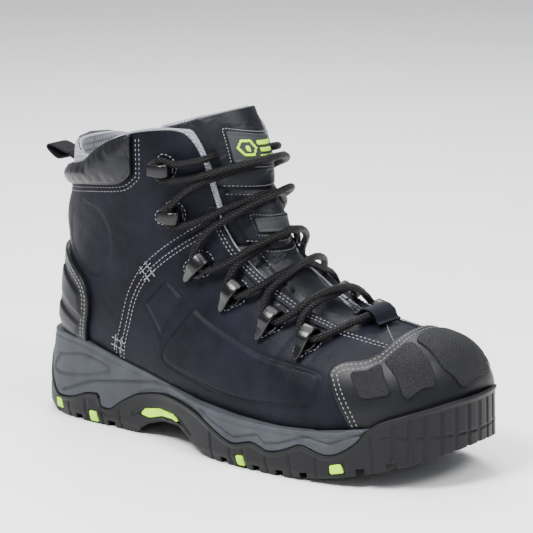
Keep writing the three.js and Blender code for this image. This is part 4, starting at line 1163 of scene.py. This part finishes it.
anchor = np.array([(0.0, 131.5 + 7.8 * f, 151.2 + 2.9 * f) for f in np.linspace(0, 1, 12)])
pts, faces, uv = swept(anchor, np.repeat([[1.0, 0, 0]], 12, 0), 15.8, 2.4, 0.6)
make("pull_loop_anchor", pts, faces, TAPE, "boot", (), uv)

# ------------------------------------------------------------------ sole unit
plan = catmull(np.concatenate([SOLE_PLAN[-1:], SOLE_PLAN, SOLE_PLAN[:2]]), np.linspace(1, len(SOLE_PLAN) + 1, 2400,
                                                                                       endpoint=False))
plan_d = travelled(np.concatenate([plan, plan[:1]]))
SOLE_ROUND = 900
at_d = np.linspace(0, plan_d[-1], SOLE_ROUND, endpoint=False)
plan = np.stack([np.interp(at_d, plan_d, np.append(plan[:, k], plan[0, k])) for k in (0, 1)], 1)
plan_t = unit(np.roll(plan, -1, 0) - np.roll(plan, 1, 0))
sole_z = np.arange(-1.0, 56, 0.62)
heel_lean = smoothstep(plan[:, 1], 60, 150)
inset = (np.maximum(0, 6 - sole_z)[:, None] * 0.35
         + np.maximum(0, sole_z - 14)[:, None] * (0.03 + 0.08 * heel_lean)[None, :])
sole_points = np.empty((len(sole_z), SOLE_ROUND, 3))
sole_points[:, :, 0] = plan[None, :, 0] - plan_t[None, :, 1] * inset
sole_points[:, :, 1] = plan[None, :, 1] + plan_t[None, :, 0] * inset
sole_points[:, :, 2] = sole_z[:, None]
SOLE = Grid(sole_points)
SOLE.face_out(np.array([0, 0, 25]))
SX, SY, SZ = SOLE.p.T
around = np.tile(at_d, len(sole_z))


def over_line(line):
    """How far a point of the wall lies above a side-view line."""
    pts = smooth_line(line, 4)
    value = height_on(pts, SY)
    slope = (height_on(pts, SY + 1) - height_on(pts, SY - 1)) / 2
    run = np.tile(np.abs(plan_t[:, 1]), len(sole_z))
    return (SZ - value) / np.sqrt(1 + (slope * run) ** 2)


def groove(distance, width, depth):
    return -depth * np.exp(-(distance / width) ** 4)


tread = over_line(TREAD_LINE)
top = over_line(OUTSOLE_TOP)
mid_top = over_line(MIDSOLE_TOP)
lug_cuts = np.full(len(SZ), 50.0)
for at, width in [(84, 5), (110, 5), (138, 5)] + [(y, 4.5) for y in (-14, -38, -54, -70, -104, -120)]:
    lug_cuts = np.minimum(lug_cuts, np.maximum(np.abs(SY - at) - width / 2, tread - 4))
LIME_BLOCKS = {
    "heel_rear": [(124.5, 4), (131, 4), (131.5, 10), (126, 10.5)],
    "heel_front": [(94, 1.5), (100.5, 1.5), (100.5, 8), (95, 8)],
    "arch": [(22, 14.5), (31, 16.2), (41, 15.6), (52, 12.2), (60, 13), (56, 17), (44, 19.5), (31, 19)],
    "ball_rear": [(-30, 1.8), (-24.5, 1.8), (-24, 7.5), (-29, 8)],
    "ball_front": [(-95, 8.8), (-87, 7), (-86.5, 12), (-93, 13.8)],
}
lime_fields = {name: polygon_field(SOLE, outline) for name, outline in LIME_BLOCKS.items()}
lime_any = np.maximum.reduce(list(lime_fields.values()))
bumper = smoothstep(-SY, 112, 118)
slot_phase = np.abs(((around + 4.5) % 9.0) - 4.5)
slot_reach = smoothstep(-top, 3.2, 4.2) * smoothstep(SZ, 17.5, 18.5)
toe_slots = -1.2 * bumper * slot_reach * (1 - smoothstep(slot_phase, 0.9, 1.5))
toe_line = groove(SZ - 31, 0.55, 0.7) * bumper
lug_lines = np.zeros(len(SZ))
for at in (-128, -112, -96, -79, -62, -46, -30, -20, -5, 76, 91, 103, 118, 130, 144):
    lug_lines += groove(SY - at - (SZ - 6) * 0.12, 0.75, 0.8) * smoothstep(-top, 2.5, 4.0) * (1 - bumper)
lip = 0.9 * smoothstep(top, -3.0, -1.6)
arch_line = polygon_field(SOLE, [(14, 12), (24, 18.5), (40, 19.5), (56, 18), (66, 12)], closed=False)
arch_groove = groove(np.abs(arch_line), 1.0, 1.0)
outsole_top = 0.6 + lip + toe_slots + toe_line + lug_lines + arch_groove
panel("outsole_wall", SOLE, least([-top, tread - 0.6, lug_cuts, -lime_any - 0.3]), outsole_top, OUTSOLE,
      "boot", "outsole_rubber", edge=0.55, thick=2.2)

lens = polygon_field(SOLE, curve_points([(129, 37), (106, 41), (85, 35), (104, 29), (134, 26), (129, 37)]))
second = polygon_field(SOLE, [(5, 28), (-8, 21), (-22, 17.5), (-39, 22), (-44, 17.8), (-54, 19.5), (-71, 26), (-86, 24),
                              (-106, 32)], closed=False)
heel_line = polygon_field(SOLE, [(124, 16), (99, 26), (74, 30), (50, 34), (36, 35)], closed=False)
waist_line = polygon_field(SOLE, [(60, 26), (44, 31), (20, 28.5), (2, 25), (-14, 20.5)], closed=False)
midsole_top = (0.75 + groove(np.abs(second), 0.8, 1.1) + groove(np.abs(heel_line), 0.8, 1.2)
               + groove(np.abs(lens), 0.8, 1.2) - 0.5 * smoothstep(lens, 0, 1)
               + groove(mid_top + 3.2, 0.55, 0.5) + groove(np.abs(waist_line), 0.8, 0.8))
panel("midsole_wall", SOLE, np.minimum(-mid_top, top - 0.25), midsole_top, MIDSOLE, "boot", "midsole_foam", edge=0.7,
      thick=2.2)
for name, field in lime_fields.items():
    for side, mine in (("lateral", SX < 0), ("medial", SX > 0)):
        panel(f"{name}_block_{side}", SOLE, np.where(mine, field, -30), 0.75, LIME, "boot", "lime_plastic",
              (f"{name}_insert_{side}",), edge=0.5, thick=2.0)

# ------------------------------------------------------------------ footbed and CAD pieces kept
footbed_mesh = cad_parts["insole"].data.copy()
footbed = bpy.data.objects.new("footbed_pad", footbed_mesh)
bpy.context.scene.collection.objects.link(footbed)
for kind in ("REMESH", "SMOOTH"):
    modifier = footbed.modifiers.new(kind.lower(), kind)
    if kind == "REMESH":
        modifier.mode, modifier.voxel_size, modifier.use_smooth_shade = "VOXEL", 0.0012, True
    else:
        modifier.factor, modifier.iterations = 0.5, 8
evaluated = footbed.evaluated_get(bpy.context.evaluated_depsgraph_get())
finished = bpy.data.meshes.new_from_object(evaluated)
footbed.modifiers.clear()
footbed.data = finished
finished.materials.clear()
finished.materials.append(FOOTBED)
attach(footbed, "footbed")
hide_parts("insole")

KEPT = {
    "heel_stiffener": INNER, "ankle_padding": FOOTBED, "safety_toe_cap": PATCH, "toe_lining": FOOTBED,
    "insole_board": INNER, "penetration_plate": PATCH, "shank": PATCH, "outsole": OUTSOLE, "midsole": MIDSOLE,
}
for name, material in KEPT.items():
    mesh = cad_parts[name].data
    mesh.materials.clear()
    mesh.materials.append(material)

low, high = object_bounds()
